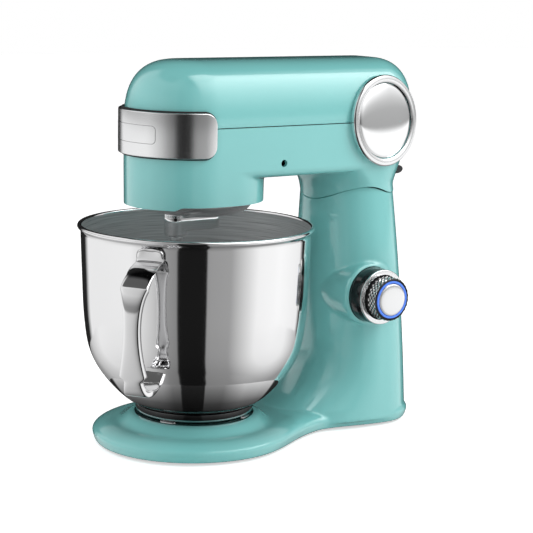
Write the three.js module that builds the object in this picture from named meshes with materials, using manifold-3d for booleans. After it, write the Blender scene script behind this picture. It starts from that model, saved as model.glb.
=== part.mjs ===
// Tilt-head stand mixer: a cast stand, a hinged motor head with a planetary drive, and a locking bowl.
// Millimetres, +Z up, front towards -Y, speed dial on the +X side, feet on Z = 0.
import * as THREE from 'three';
import { mergeVertices } from 'three/addons/utils/BufferGeometryUtils.js';
import Module from 'manifold-3d';

const wasm = await Module();
wasm.setup();

// ---------------------------------------------------------------- driving dimensions
const GAP = 0.3; // between pieces that touch
const BOWL_AXIS_Y = -51.2; // bowl axis, measured from the middle of the whole object
const RIM_RADIUS = 110;
const RIM_Z = 204;
const HEAD_HALF = 57.5;
const HEAD_TOP = 357.5;
const HEAD_SPLIT_Z = 299;
const HEAD_REAR = 230;
const HEAD_CROWN_Z = 300; // the sides start to round over towards the top here
const HEAD_CROWN_RUN = 50;
const HEAD_WALL = 3.5;
const NOSE_CENTRE_Y = -12;
const NOSE_BOTTOM = 226;
const BOSS_REAR = 62;
const ARCH_Z = 252;
const COLUMN_SIDE_Y = 177; // widest line of the column's plan
const COLUMN_WALL = 5;
const BASE_BOTTOM = 2.4;
const BASE_TOP = 20;
const BASE_REAR = 232;
const HINGE_Y = 208;
const HINGE_Z = 225.5;
const HINGE_PIN_RADIUS = 3;
const BARREL_RADIUS = 6.5;
const BARREL_HALF = 24.3;
const KNUCKLE_HALF = 13.7; // the head's part of the hinge, between the two lugs
const SEAM_REAR_Z = 229.4;
const SEAM_GAP = 1.2;
const ORBIT = 22.5; // beater axis from the bowl axis
const RING_TEETH = 28;
const PLANET_TEETH = 10;
const PLANET_MODULE = ORBIT / ((RING_TEETH - PLANET_TEETH) / 2);
const LAYSHAFT_Z = 294;
const MOTOR_Z = 314;
const PINION_TEETH = 8;
const REDUCTION_TEETH = 24;
const SPUR_MODULE = (2 * (MOTOR_Z - LAYSHAFT_Z)) / (PINION_TEETH + REDUCTION_TEETH);
const BEVEL_TEETH = 10;
const CROWN_TEETH = 30;
const BEVEL_MODULE = 1.68;
const DIAL_Y = 163;
const DIAL_Z = 133.5;
const BADGE_X = 52.5;
const BADGE_Y = 174;
const BADGE_Z = 299.5;
const BADGE_RADIUS = 43.3;
const BADGE_TURN = 8; // degrees towards the rear
const BADGE_LIFT = 4; // degrees upwards
const HANDLE_ANGLE = -54.4; // degrees from +X, seen from above

const rad = THREE.MathUtils.degToRad;

// ---------------------------------------------------------------- closed solids
function signedVolume(geometry) {
  const p = geometry.attributes.position;
  const index = geometry.index;
  const [a, b, c] = [new THREE.Vector3(), new THREE.Vector3(), new THREE.Vector3()];
  let sum = 0;
  for (let i = 0; i < index.count; i += 3) {
    a.fromBufferAttribute(p, index.getX(i));
    b.fromBufferAttribute(p, index.getX(i + 1));
    c.fromBufferAttribute(p, index.getX(i + 2));
    sum += a.dot(b.cross(c));
  }
  return sum / 6;
}

// Shared vertices merged, slivers with a repeated vertex dropped, faces turned outwards.
function welded(geometry) {
  const bare = new THREE.BufferGeometry();
  bare.setAttribute('position', geometry.attributes.position.clone());
  if (geometry.index) bare.setIndex(geometry.index.clone());
  const merged = mergeVertices(bare, 1e-4);
  const kept = [];
  for (let i = 0; i < merged.index.count; i += 3) {
    const [a, b, c] = [0, 1, 2].map((k) => merged.index.getX(i + k));
    if (a !== b && b !== c && a !== c) kept.push(a, b, c);
  }
  merged.setIndex(kept);
  if (signedVolume(merged) < 0) merged.setIndex(kept.reverse());
  return merged;
}

function solid(geometry) {
  const closed = welded(geometry);
  return new wasm.Manifold(
    new wasm.Mesh({
      numProp: 3,
      vertProperties: new Float32Array(closed.attributes.position.array),
      triVerts: new Uint32Array(closed.index.array),
    }),
  );
}

function surface(manifold) {
  const mesh = manifold.getMesh();
  const geometry = new THREE.BufferGeometry();
  geometry.setAttribute('position', new THREE.BufferAttribute(mesh.vertProperties, 3));
  geometry.setIndex(new THREE.BufferAttribute(mesh.triVerts, 1));
  return geometry;
}

function join(first, ...rest) {
  return rest.reduce((whole, piece) => whole.add(piece), first);
}

function cut(whole, ...tools) {
  return tools.reduce((left, tool) => left.subtract(tool), whole);
}

// A body through stacked outlines [[x, y], ...] of equal length, each at its own height.
function loft(levels) {
  const count = levels[0].outline.length;
  const positions = [];
  const index = [];
  for (const { outline, z } of levels) {
    for (const [x, y] of outline) positions.push(x, y, z);
  }
  for (let level = 0; level < levels.length - 1; level += 1) {
    for (let i = 0; i < count; i += 1) {
      const a = level * count + i;
      const b = level * count + ((i + 1) % count);
      index.push(a, b, b + count, a, b + count, a + count);
    }
  }
  const flat = levels[0].outline.map(([x, y]) => new THREE.Vector2(x, y));
  const top = (levels.length - 1) * count;
  for (const [a, b, c] of THREE.ShapeUtils.triangulateShape(flat, [])) index.push(a, c, b);
  const flatTop = levels.at(-1).outline.map(([x, y]) => new THREE.Vector2(x, y));
  for (const [a, b, c] of THREE.ShapeUtils.triangulateShape(flatTop, [])) {
    index.push(top + a, top + b, top + c);
  }
  const geometry = new THREE.BufferGeometry();
  geometry.setAttribute('position', new THREE.Float32BufferAttribute(positions, 3));
  geometry.setIndex(index);
  return solid(geometry);
}

// Turned about +Z. An open profile starts and ends on the axis, any other one is closed.
function turned(profile, segments = 32) {
  const points = profile.map(([r, z]) => new THREE.Vector2(r, z));
  if (profile[0][0] > 0) points.push(points[0].clone());
  return solid(new THREE.LatheGeometry(points, segments).rotateX(Math.PI / 2));
}

function rod(radius, from, to, segments = 20) {
  return turned([[0, from], [radius, from], [radius, to], [0, to]], segments);
}

function ring(outer, inner, from, to, segments = 24) {
  return turned([[inner, from], [outer, from], [outer, to], [inner, to]], segments);
}

function box(low, high) {
  const size = high.map((value, i) => value - low[i]);
  const middle = high.map((value, i) => (value + low[i]) / 2);
  return solid(new THREE.BoxGeometry(...size).translate(...middle));
}

// An outline in the (Y, Z) plane, given as a THREE.Shape, pushed out along X.
function sidePlate(shape, fromX, toX, curveSegments = 8) {
  const geometry = new THREE.ExtrudeGeometry(shape, {
    depth: toX - fromX, bevelEnabled: false, curveSegments,
  });
  const turn = new THREE.Matrix4().makeBasis(
    new THREE.Vector3(0, 1, 0), new THREE.Vector3(0, 0, 1), new THREE.Vector3(1, 0, 0),
  );
  return solid(geometry.applyMatrix4(turn).translate(fromX, 0, 0));
}

const toX = (manifold) => manifold.rotate([0, 90, 0]);
const toY = (manifold) => manifold.rotate([-90, 0, 0]);

// ---------------------------------------------------------------- plan outlines
// Elliptical front, straight sides, rounded rear corners.
function plan({ half, front, side, rear, corner, frontSteps = 14, cornerSteps = 4 }) {
  const points = [];
  for (let i = 0; i <= frontSteps; i += 1) {
    const angle = Math.PI + (Math.PI * i) / frontSteps;
    points.push([half * Math.cos(angle), side + (side - front) * Math.sin(angle)]);
  }
  const radius = Math.min(corner, half * 0.98, rear - side - 0.5);
  for (const [centre, start] of [[half - radius, 0], [radius - half, Math.PI / 2]]) {
    for (let i = 0; i <= cornerSteps; i += 1) {
      const angle = start + (Math.PI / 2) * (i / cornerSteps);
      points.push([centre + radius * Math.cos(angle), rear - radius + radius * Math.sin(angle)]);
    }
  }
  return points;
}

function moved(outline, inwards) {
  const count = outline.length;
  return outline.map(([x, y], i) => {
    const [px, py] = outline[(i + count - 1) % count];
    const [nx, ny] = outline[(i + 1) % count];
    const length = Math.hypot(nx - px, ny - py);
    return [x - ((ny - py) / length) * inwards, y + ((nx - px) / length) * inwards];
  });
}

function basePlan(inwards) {
  const path = new THREE.Path();
  path.moveTo(0, -97);
  path.absellipse(0, 2, 93.5, 99, -Math.PI / 2, 0);
  path.bezierCurveTo(93.5, 46, 62, 70, 52, 112);
  path.bezierCurveTo(48, 132, 62, 160, 62, BASE_REAR - 40);
  path.absarc(22, BASE_REAR - 40, 40, 0, Math.PI / 2);
  path.lineTo(0, BASE_REAR);
  const right = path.getPoints(4).map((p) => [p.x, p.y]);
  const apart = ([x, y], i) => i === 0 || Math.hypot(x - right[i - 1][0], y - right[i - 1][1]) > 0.1;
  const clean = right.filter(apart);
  const left = clean.slice(1, -1).reverse().map(([x, y]) => [-x, y]);
  return moved([...clean, ...left], inwards);
}

// ---------------------------------------------------------------- head shape
function crownInset(z) {
  const rise = Math.max(0, (z - HEAD_CROWN_Z) / (HEAD_TOP - HEAD_CROWN_Z));
  return HEAD_CROWN_RUN * (1 - (1 - Math.min(1, rise) ** 2.6) ** (1 / 2.6));
}

function headRear(z) {
  const rise = THREE.MathUtils.clamp((z - 238) / 62, 0, 1);
  return 210.5 + (HEAD_REAR - 210.5) * rise ** 0.9;
}

function headPlan(z, extra = 0) {
  const inset = crownInset(z) - extra;
  return plan({
    half: HEAD_HALF - inset,
    front: NOSE_CENTRE_Y - HEAD_HALF + inset,
    side: NOSE_CENTRE_Y,
    rear: headRear(z) - inset * 0.9,
    corner: Math.max(6, 45 - inset),
  });
}

function bossPlan(inset) {
  const half = HEAD_HALF - inset;
  return plan({
    half, front: NOSE_CENTRE_Y - half, side: NOSE_CENTRE_Y, rear: BOSS_REAR - inset, corner: half,
    cornerSteps: 6,
  });
}

function neckPlan(z, inset = 0) {
  const flare = Math.max(0, (z - SEAM_REAR_Z) / 30);
  return plan({
    half: 50.5 + 6.9 * Math.min(1, flare) ** 1.5 - inset,
    front: 131 - 17 * flare ** 2.5 + inset,
    side: COLUMN_SIDE_Y - 32 * Math.min(1, flare) ** 1.2,
    rear: headRear(z) - inset,
    corner: 34 + 10 * flare - inset / 2,
  });
}

// The curved joint between head and column, as a region below it in the (Y, Z) plane.
function belowSeam(lowered) {
  const shape = new THREE.Shape();
  shape.moveTo(100, 180);
  shape.lineTo(100, 219 - lowered);
  shape.lineTo(130, 221 - lowered);
  shape.bezierCurveTo(136, 226.5 - lowered, 146, 236.2 - lowered, 163, 236.4 - lowered);
  shape.bezierCurveTo(176, 236.4 - lowered, 184, SEAM_REAR_Z - lowered, 194, SEAM_REAR_Z - lowered);
  shape.lineTo(250, SEAM_REAR_Z - lowered);
  shape.lineTo(250, 180);
  return sidePlate(shape, -90, 90, 6);
}

function badgePlacement(side) {
  const turn = rad(BADGE_TURN);
  const lift = rad(BADGE_LIFT);
  const out = new THREE.Vector3(side * Math.cos(turn), Math.sin(turn), Math.sin(lift)).normalize();
  const across = new THREE.Vector3(0, 0, 1).cross(out).normalize();
  const up = out.clone().cross(across);
  return new THREE.Matrix4().makeBasis(across, up, out).setPosition(side * BADGE_X, BADGE_Y, BADGE_Z);
}

function placed(manifold, matrix) {
  return solid(surface(manifold).applyMatrix4(matrix));
}

function badgePads() {
  return [1, -1].map((side) => placed(rod(BADGE_RADIUS - 0.6, -24, 1, 26), badgePlacement(side)));
}

function badgePockets() {
  return [1, -1].map((side) => placed(rod(BADGE_RADIUS + 0.5, 1, 40, 32), badgePlacement(side)));
}

function hubBore() {
  return toY(rod(16.3, -90, -38, 20)).translate([0, 0, LAYSHAFT_Z]);
}

function upperCover() {
  const heights = [HEAD_SPLIT_Z + 0.15, 317, 333, 345, 353, HEAD_TOP];
  const outside = loft(heights.map((z) => ({ outline: headPlan(z), z })));
  const shell = join(outside, ...badgePads());
  const inner = heights.slice(0, -1).map((z) => ({ outline: headPlan(z, -HEAD_WALL), z: z - 0.01 }));
  inner[0].z = HEAD_SPLIT_Z - 2;
  const underSplit = box([-90, -90, 200], [90, 260, HEAD_SPLIT_Z + 0.15]);
  return cut(shell, loft(inner), underSplit, hubBore(), ...badgePockets());
}

function lowerOutside() {
  const slab = loft([
    { outline: moved(headPlan(ARCH_Z), 6), z: ARCH_Z },
    { outline: moved(headPlan(ARCH_Z + 2), 2), z: ARCH_Z + 2.2 },
    { outline: headPlan(ARCH_Z + 6), z: ARCH_Z + 6.5 },
    { outline: headPlan(275), z: 275 },
    { outline: headPlan(HEAD_SPLIT_Z), z: HEAD_SPLIT_Z - 0.15 },
  ]);
  const boss = loft([
    { outline: bossPlan(1.5), z: NOSE_BOTTOM },
    { outline: bossPlan(0), z: NOSE_BOTTOM + 2.5 },
    { outline: bossPlan(0), z: 262 },
  ]);
  const neckHeights = [214, SEAM_REAR_Z, 238, 246, 254, 261];
  const neck = loft(neckHeights.map((z) => ({ outline: neckPlan(z), z })));
  return join(slab, boss, cut(neck, belowSeam(0)));
}

function lowerHollow() {
  const main = [
    { outline: headPlan(ARCH_Z + 4, -HEAD_WALL), z: ARCH_Z + 4 },
    { outline: headPlan(HEAD_SPLIT_Z, -HEAD_WALL), z: HEAD_SPLIT_Z + 20 },
  ];
  const neck = [SEAM_REAR_Z + 13, ARCH_Z + 5].map((z) => ({ outline: neckPlan(SEAM_REAR_Z, 5), z }));
  return join(loft(main), loft(neck));
}

function lowerHousing() {
  const barrel = toX(rod(BARREL_RADIUS, -KNUCKLE_HALF, KNUCKLE_HALF, 16)).translate([0, HINGE_Y, HINGE_Z]);
  const shell = join(lowerOutside(), barrel);
  const padParts = badgePads().map((pad) => cut(pad, box([-90, 90, HEAD_SPLIT_Z - 0.15], [90, 260, 400])));
  const stepCut = box([-90, -48, 200], [90, 90, NOSE_BOTTOM + 3]);
  const gearChamber = rod(52.2, 200, 245, 32);
  const shaftHole = rod(14, 240, 260, 20);
  const lugSlots = [-1, 1].map((side) =>
    toX(rod(BARREL_RADIUS + 0.6, side * 19 - 5.3, side * 19 + 5.3, 16)).translate([0, HINGE_Y, HINGE_Z]),
  );
  const pinHole = toX(rod(HINGE_PIN_RADIUS + 0.25, -46, 46, 14)).translate([0, HINGE_Y, HINGE_Z]);
  const leverSlot = box([-16, 200, 239.8], [16, 240, 252.4]);
  const screwPort = toX(rod(3.4, 50, 70, 16)).translate([0, 57, 265]);
  const rest = cut(
    shell, lowerHollow(), stepCut, gearChamber, shaftHole, ...lugSlots, pinHole, leverSlot, screwPort,
    hubBore(),
  );
  return cut(join(rest, ...padParts.map((pad) => cut(pad, lowerHollow()))), ...badgePockets());
}

// ---------------------------------------------------------------- stand
function columnPlan(z, inset = 0) {
  const rise = THREE.MathUtils.clamp((z - BASE_TOP) / 200, 0, 1.2);
  const foot = Math.max(0, (85 - z) / 65);
  return plan({
    half: 62 - 12 * rise ** 1.9 - inset,
    front: 131 - 45 * Math.min(1.05, foot) ** 2.6 + inset,
    side: COLUMN_SIDE_Y,
    rear: Math.min(BASE_REAR - 0.4, 210 + 21 * (1 - (z - BASE_TOP) / 208)) - inset,
    corner: 32 + 14 * (1 - rise) - inset / 2,
  });
}

function column() {
  const heights = [8, 24, 38, 56, 80, 133, 190, 242];
  return cut(
    loft(heights.map((z) => ({ outline: columnPlan(z), z }))),
    box([-90, 60, 200], [90, 260, 260]).subtract(belowSeam(SEAM_GAP)),
    box([-90, HINGE_Y - 3, HINGE_Z + 0.3], [90, 260, 260]),
  );
}

function standBody() {
  const plate = loft([
    { outline: basePlan(3.6), z: BASE_BOTTOM },
    { outline: basePlan(1.6), z: BASE_BOTTOM + 2.6 },
    { outline: basePlan(0), z: 12 },
    { outline: basePlan(1.4), z: 14.6 },
    { outline: basePlan(6), z: 17.4 },
    { outline: basePlan(14), z: BASE_TOP },
  ]);
  const mound = turned([
    [0, 12], [73, 12], [73, BASE_TOP], [66.5, 22.2], [60, 26.6], [57.5, 28], [0, 28],
  ], 32);
  const dialBoss = toX(turned([[0, 30], [34, 30], [30.5, 52], [29.5, 58.5], [0, 58.5]], 32));
  return join(plate, mound, column(), dialBoss.translate([0, DIAL_Y, DIAL_Z]));
}

function standHollow() {
  const under = loft([
    { outline: basePlan(6), z: BASE_BOTTOM - 2 },
    { outline: basePlan(6), z: 12 },
  ]);
  const inside = loft([
    { outline: columnPlan(24, COLUMN_WALL + 2), z: 8 },
    ...[46, 78, 150, 206].map((z) => ({ outline: columnPlan(z, COLUMN_WALL), z })),
  ]);
  return join(under, inside);
}

function hingeLugs() {
  return [-1, 1].map((side) => {
    const [from, to] = [side * 19 - 4.7, side * 19 + 4.7];
    const round = toX(rod(BARREL_RADIUS - 0.3, from, to, 16)).translate([0, HINGE_Y, HINGE_Z]);
    const root = box([from, HINGE_Y - 6, 210], [to, HINGE_Y + 3.6, HINGE_Z]);
    return join(round, root);
  });
}

function baseCasting() {
  const trough = toX(rod(BARREL_RADIUS + 0.6, -BARREL_HALF - 0.6, BARREL_HALF + 0.6, 20))
    .translate([0, HINGE_Y, HINGE_Z]);
  const recess = rod(56, 18.6, 40, 32);
  const dialHole = toX(rod(27, 38, 90, 22)).translate([0, DIAL_Y, DIAL_Z]);
  const glandHole = toY(join(rod(9.4, 200, 250, 14), rod(11.4, 225.7, 250, 14))).translate([0, 0, 44]);
  const strikePocket = box([-9.3, 185.7, 206.7], [9.3, 193.3, 245]);
  const pinHole = toX(rod(HINGE_PIN_RADIUS + 0.25, -46, 46, 14)).translate([0, HINGE_Y, HINGE_Z]);
  const shell = cut(standBody(), standHollow(), trough, recess, dialHole, glandHole, strikePocket);
  return cut(join(shell, ...hingeLugs()), pinHole);
}

function baseCover() {
  const plate = loft([3, 5].map((z) => ({ outline: basePlan(6.6), z })));
  return cut(plate, ...footPlaces.map(([x, y]) => rod(9.4, 0, 10, 16).translate([x, y, 0])));
}

const footPlaces = [[0, -66], [62, 2], [-62, 2], [40, 200], [-40, 200]];

function rubberFoot([x, y]) {
  const profile = [[0, 0], [9, 0], [10.5, 1.2], [10.5, 2.7], [9, 2.7], [9, 9], [0, 9]];
  return turned(profile, 14).translate([x, y, 0]);
}

// A sector of a ring, used for the bowl's bayonet.
function sector(outer, inner, from, to, middle, span) {
  const shape = new THREE.Shape();
  const [start, end] = [rad(middle - span / 2), rad(middle + span / 2)];
  shape.absarc(0, 0, outer, start, end, false);
  shape.absarc(0, 0, inner, end, start, true);
  const geometry = new THREE.ExtrudeGeometry(shape, {
    depth: to - from, bevelEnabled: false, curveSegments: 2,
  });
  return solid(geometry.translate(0, 0, from));
}

const BAYONET = [45, 135, 225, 315];

function clampPlate() {
  const plate = turned([[0, 18.9], [52, 18.9], [52, 20.8], [43, 20.8], [43, 25.4], [0, 25.4]], 26);
  const lips = BAYONET.map((angle) => sector(47.2, 42, 23.7, 25.4, angle, 26));
  const screwHoles = [0, 120, 240].map((angle) =>
    rod(4.3, 21.4, 30, 14).translate([26 * Math.cos(rad(angle)), 26 * Math.sin(rad(angle)), 0]));
  return cut(join(plate, ...lips), ...screwHoles);
}

function screw(radius, length) {
  const profile = [[0, 0], [radius, 0], [radius, 1.8], [radius * 0.55, 2.4], [radius * 0.4, 1.5], [0, 1.5]];
  return turned(profile, 12).translate([0, 0, length]);
}

// ---------------------------------------------------------------- bowl
const bowlWall = [
  [49.6, 36.2], [62, 41.8], [76, 54], [91.5, 74], [99, 91], [103.2, 117], [105.6, 165], [106.8, 200],
];

function bowl() {
  const thickness = 1.4;
  const outside = [[0, 33.4], [40, 33.8], ...bowlWall];
  const bead = [];
  for (let i = 0; i <= 5; i += 1) {
    const angle = rad(-60 + (240 * i) / 5);
    bead.push([RIM_RADIUS - 2.3 + 2.3 * Math.cos(angle), RIM_Z + 2.3 * Math.sin(angle)]);
  }
  const inside = outside.map(([r, z]) => [Math.max(0, r - thickness), z + thickness * 0.6]).reverse();
  inside[inside.length - 1] = [0, 33.4 + thickness];
  return turned([...outside, ...bead, ...inside], 32);
}

function bowlFootRing() {
  const wall = turned([[51.5, 21.2], [54.7, 21.2], [54.7, 30], [55.9, 37.9], [51.5, 36]], 32);
  const tabs = BAYONET.map((angle) => sector(52, 44, 21.3, 23.2, angle + 0.01, 22));
  return join(wall, ...tabs);
}

// The strap in the (radius, Z) plane: top plate, sloping arm, upright grip, return to the bowl.
function bowlHandle() {
  const outer = new THREE.Shape();
  outer.moveTo(106.9, 176);
  outer.lineTo(107.2, 199.4);
  outer.lineTo(110.4, 199.4);
  outer.lineTo(111, 193.5);
  outer.bezierCurveTo(124, 191, 141, 182, 147, 170);
  outer.bezierCurveTo(151, 158, 151, 120, 147.5, 92);
  outer.bezierCurveTo(146, 78, 141, 70.4, 131, 70.4);
  outer.bezierCurveTo(119, 70.8, 107, 76, 99, 85.2);
  outer.lineTo(100.2, 93);
  outer.bezierCurveTo(110, 80, 120, 76, 131, 75.6);
  outer.bezierCurveTo(138, 76, 139, 84, 140, 92);
  outer.bezierCurveTo(143, 120, 143, 152, 140, 164);
  outer.bezierCurveTo(134, 176, 122, 184, 110.6, 186);
  outer.lineTo(109.8, 176);
  const geometry = new THREE.ExtrudeGeometry(outer, { depth: 26, bevelEnabled: false, curveSegments: 6 });
  geometry.translate(0, 0, -13).rotateX(Math.PI / 2);
  const beside = bowlWall.map(([r, z]) => [r + 0.5, z]);
  const clearance = turned([[0, 20], ...beside, [107.7, 230], [0, 230]], 32);
  return cut(solid(geometry).rotate([0, 0, HANDLE_ANGLE]), clearance);
}

// ---------------------------------------------------------------- gears
function toothed(teeth, rootRadius, tipRadius, phase, rootShare = 0.56, tipShare = 0.26) {
  const pitch = (2 * Math.PI) / teeth;
  const points = [];
  for (let i = 0; i < teeth; i += 1) {
    const middle = i * pitch + phase;
    for (const [radius, share] of [
      [rootRadius, -rootShare], [tipRadius, -tipShare], [tipRadius, tipShare], [rootRadius, rootShare],
    ]) {
      const angle = middle + (pitch * share) / 2;
      points.push([radius * Math.cos(angle), radius * Math.sin(angle)]);
    }
  }
  return points;
}

function spurGear(teeth, module, from, to, bore, phase) {
  const radius = (teeth * module) / 2;
  const outline = toothed(teeth, radius - 1.15 * module, radius + 0.85 * module, phase);
  return cut(loft([from, to].map((z) => ({ outline, z }))), rod(bore, from - 1, to + 1, 16));
}

function ringGear() {
  const radius = (RING_TEETH * PLANET_MODULE) / 2;
  const inner = toothed(
    RING_TEETH, radius - 0.85 * PLANET_MODULE, radius + 1.15 * PLANET_MODULE, 0, 0.74, 0.44,
  );
  const outer = rod(radius + 5, 233, 240, 32);
  return cut(outer, loft([232, 241].map((z) => ({ outline: inner, z }))));
}

// Teeth that narrow towards the apex at the origin, the wide end at the given distance below it.
function bevelGear(teeth, pitchRadius, distance, depth, face, phase) {
  const root = pitchRadius - depth * 0.58;
  const tip = pitchRadius + depth * 0.42;
  const wide = toothed(teeth, root, tip, phase);
  const levels = [1, 1 - face].map((scale) => ({
    outline: wide.map(([x, y]) => [x * scale, y * scale]), z: -distance * scale,
  }));
  return loft(levels);
}

// ---------------------------------------------------------------- node list
const mixer = new THREE.Group();
mixer.name = 'stand_mixer';
const aboutBowlAxis = new THREE.Group();
aboutBowlAxis.position.set(0, BOWL_AXIS_Y, 0);
mixer.add(aboutBowlAxis);

const enamel = { color: 0x8fd2cf, roughness: 0.12, metalness: 0 };
const chrome = { color: 0xd4d6d8, roughness: 0.06, metalness: 1 };
const polished = { color: 0xc9cbcd, roughness: 0.16, metalness: 1 };
const blackPlastic = { color: 0x161718, roughness: 0.45, metalness: 0 };
const rubber = { color: 0x1b1b1b, roughness: 0.85, metalness: 0 };
const steel = { color: 0x9b9ea1, roughness: 0.35, metalness: 1 };
const zinc = { color: 0xb4b6b8, roughness: 0.5, metalness: 0.9 };
const brass = { color: 0xb08d4a, roughness: 0.35, metalness: 1 };
const copper = { color: 0xb06a3c, roughness: 0.35, metalness: 1 };
const laminate = { color: 0x2e5a3c, roughness: 0.6, metalness: 0 };
const glowing = { color: 0x2f6fe0, roughness: 0.3, metalness: 0 };
const nylon = { color: 0xe6e2d8, roughness: 0.5, metalness: 0 };

function node(name, manifold, look) {
  const mesh = new THREE.Mesh(surface(manifold), new THREE.MeshStandardMaterial(look));
  mesh.name = name;
  aboutBowlAxis.add(mesh);
}

function addStand() {
  node('base_casting', baseCasting(), enamel);
  node('base_cover', baseCover(), blackPlastic);
  footPlaces.forEach((place, i) => node(`rubber_foot_${i + 1}`, rubberFoot(place), rubber));
  node('bowl_clamp_plate', clampPlate(), steel);
  [0, 120, 240].forEach((angle, i) => {
    const head = screw(4, 21.7).translate([26 * Math.cos(rad(angle)), 26 * Math.sin(rad(angle)), 0]);
    node(`clamp_screw_${i + 1}`, head, steel);
  });
  const hinge = toX(rod(HINGE_PIN_RADIUS, -BARREL_HALF + 1, BARREL_HALF - 1, 14));
  node('hinge_pin', hinge.translate([0, HINGE_Y, HINGE_Z]), steel);
  const gland = turned([[4, -8], [9, -8], [9, 7], [11, 7], [11, 9.5], [7.5, 12], [4, 12]], 14);
  node('cord_gland', toY(gland).translate([0, 219, 44]), rubber);
  node('speed_control_board', box([-32, 150, 95], [34, 152, 170]), laminate);
  const encoder = toX(join(rod(9, 37.5, 46, 14), rod(3, 45, 72, 16)));
  const trimmed = cut(encoder, box([30, -20, -20], [38.3, 20, 20]));
  node('speed_encoder', trimmed.translate([0, DIAL_Y, DIAL_Z]), nylon);
  node('latch_strike', cut(box([-9, 186, 207], [9, 193, 226]), box([-6, 180, 214], [6, 200, 222])), steel);
}

function addDial() {
  const place = (manifold) => toX(manifold).translate([0, DIAL_Y, DIAL_Z]);
  const collar = turned([
    [4, 47], [26.7, 47], [26.7, 66], [26.2, 70], [25.6, 74], [22, 74], [22, 68], [4, 68],
  ], 26);
  node('dial_collar', place(collar), blackPlastic);
  node('dial_bezel', place(ring(26.5, 21.8, 74.3, 76, 26)), chrome);
  const knob = turned([
    [3.4, 70], [20.4, 70], [20.9, 77], [20.4, 89.4], [19.8, 90], [18.2, 90], [18.2, 88.8], [3.4, 88.8],
  ], 26);
  node('speed_dial', place(cut(knob, rod(3.3, 60, 73, 16))), blackPlastic);
  node('dial_light_ring', place(ring(17.9, 15.7, 89.1, 90.3, 22)), glowing);
  node('dial_cap', place(turned([[0, 89.1], [15.4, 89.1], [15.4, 90], [13, 90.8], [0, 91.4]], 22)), chrome);
}

function addHeadShells() {
  node('head_lower_housing', lowerHousing(), enamel);
  node('head_upper_cover', upperCover(), enamel);
  const behind = box([-90, -17.5, 200], [90, 300, 400]);
  const wrap = (outer, inner, low, high) => {
    const ends = [low, high];
    const full = (extra, heights) => loft(heights.map((z) => ({ outline: headPlan(280, extra), z })));
    return cut(full(outer, ends), full(inner, [low - 5, high + 5]), behind);
  };
  node('band_gasket', wrap(2.2, 0.3, 271.4, 314.8), rubber);
  const band = cut(wrap(5.2, 2.5, 273, 313.4), box([-90, -19, 200], [90, 300, 400]));
  node('hub_cover_band', band, chrome);
  for (const [side, word] of [[1, 'right'], [-1, 'left']]) {
    const place = badgePlacement(side);
    const outer = turned([
      [35.6, 1.3], [BADGE_RADIUS, 1.3], [BADGE_RADIUS, 4.8], [41, 6.5], [35.6, 5.4],
    ], 32);
    const dome = turned([[0, 1.3], [35.3, 1.3], [35.3, 4], [27, 5.6], [14, 6.6], [0, 7]], 26);
    node(`badge_ring_${word}`, placed(outer, place), chrome);
    node(`badge_dome_${word}`, placed(dome, place), chrome);
  }
  const hub = toY(turned([[9, -62], [16, -62], [16, -40], [6.5, -40], [6.5, -44], [9, -44]], 20));
  node('attachment_hub', hub.translate([0, 0, LAYSHAFT_Z]), steel);
}

function addLever() {
  const plate = new THREE.Shape();
  plate.moveTo(200, 243);
  plate.lineTo(222, 242);
  plate.bezierCurveTo(229, 241, 234, 243, 234, 246);
  plate.bezierCurveTo(234, 249, 230, 251, 224, 250.6);
  plate.lineTo(200, 249.4);
  const pinHole = toX(rod(2.3, -20, 20, 16)).translate([0, 206, 246]);
  node('release_lever', cut(sidePlate(plate, -15.4, 15.4), pinHole), blackPlastic);
  node('lever_pin', toX(rod(2, -14.8, 14.8, 14)).translate([0, 206, 246]), steel);
}

function addMotor() {
  const at = (manifold) => toY(manifold).translate([0, 0, MOTOR_Z]);
  node('motor_stator', at(ring(31, 22.4, 92, 142, 22)), steel);
  node('rotor_core', at(ring(21.4, 4.6, 94, 140, 20)), steel);
  node('rotor_shaft', at(join(rod(4.3, 81, 182, 16), rod(2.4, 66, 82, 16))), steel);
  node('commutator', at(ring(10, 4.6, 146, 158, 14)), copper);
  node('cooling_fan', at(join(ring(9, 4.6, 164, 174, 14), ...fanBlades())), nylon);
  const layshaftHole = rod(4.3, 80, 88, 16).translate([0, MOTOR_Z - LAYSHAFT_Z, 0]);
  node('motor_front_bracket', at(cut(rod(30, 82, 86, 20), rod(4.7, 80, 88, 16), layshaftHole)), zinc);
  node('motor_rear_bracket', at(cut(rod(30, 176, 180, 20), rod(4.7, 174, 182, 16))), zinc);
  for (const [from, to, word] of [[10.5, 22, 'right'], [-22, -10.5, 'left']]) {
    node(`carbon_brush_${word}`, box([from, 148, MOTOR_Z - 4], [to, 156, MOTOR_Z + 4]), blackPlastic);
  }
  const phase = Math.PI / PINION_TEETH + Math.PI / 2;
  node('motor_pinion', at(spurGear(PINION_TEETH, SPUR_MODULE, 68, 80, 2.6, phase)), steel);
}

function fanBlades() {
  return Array.from({ length: 6 }, (_, i) => box([8, -0.8, 165], [24, 0.8, 173]).rotate([0, 0, i * 60]));
}

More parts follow.
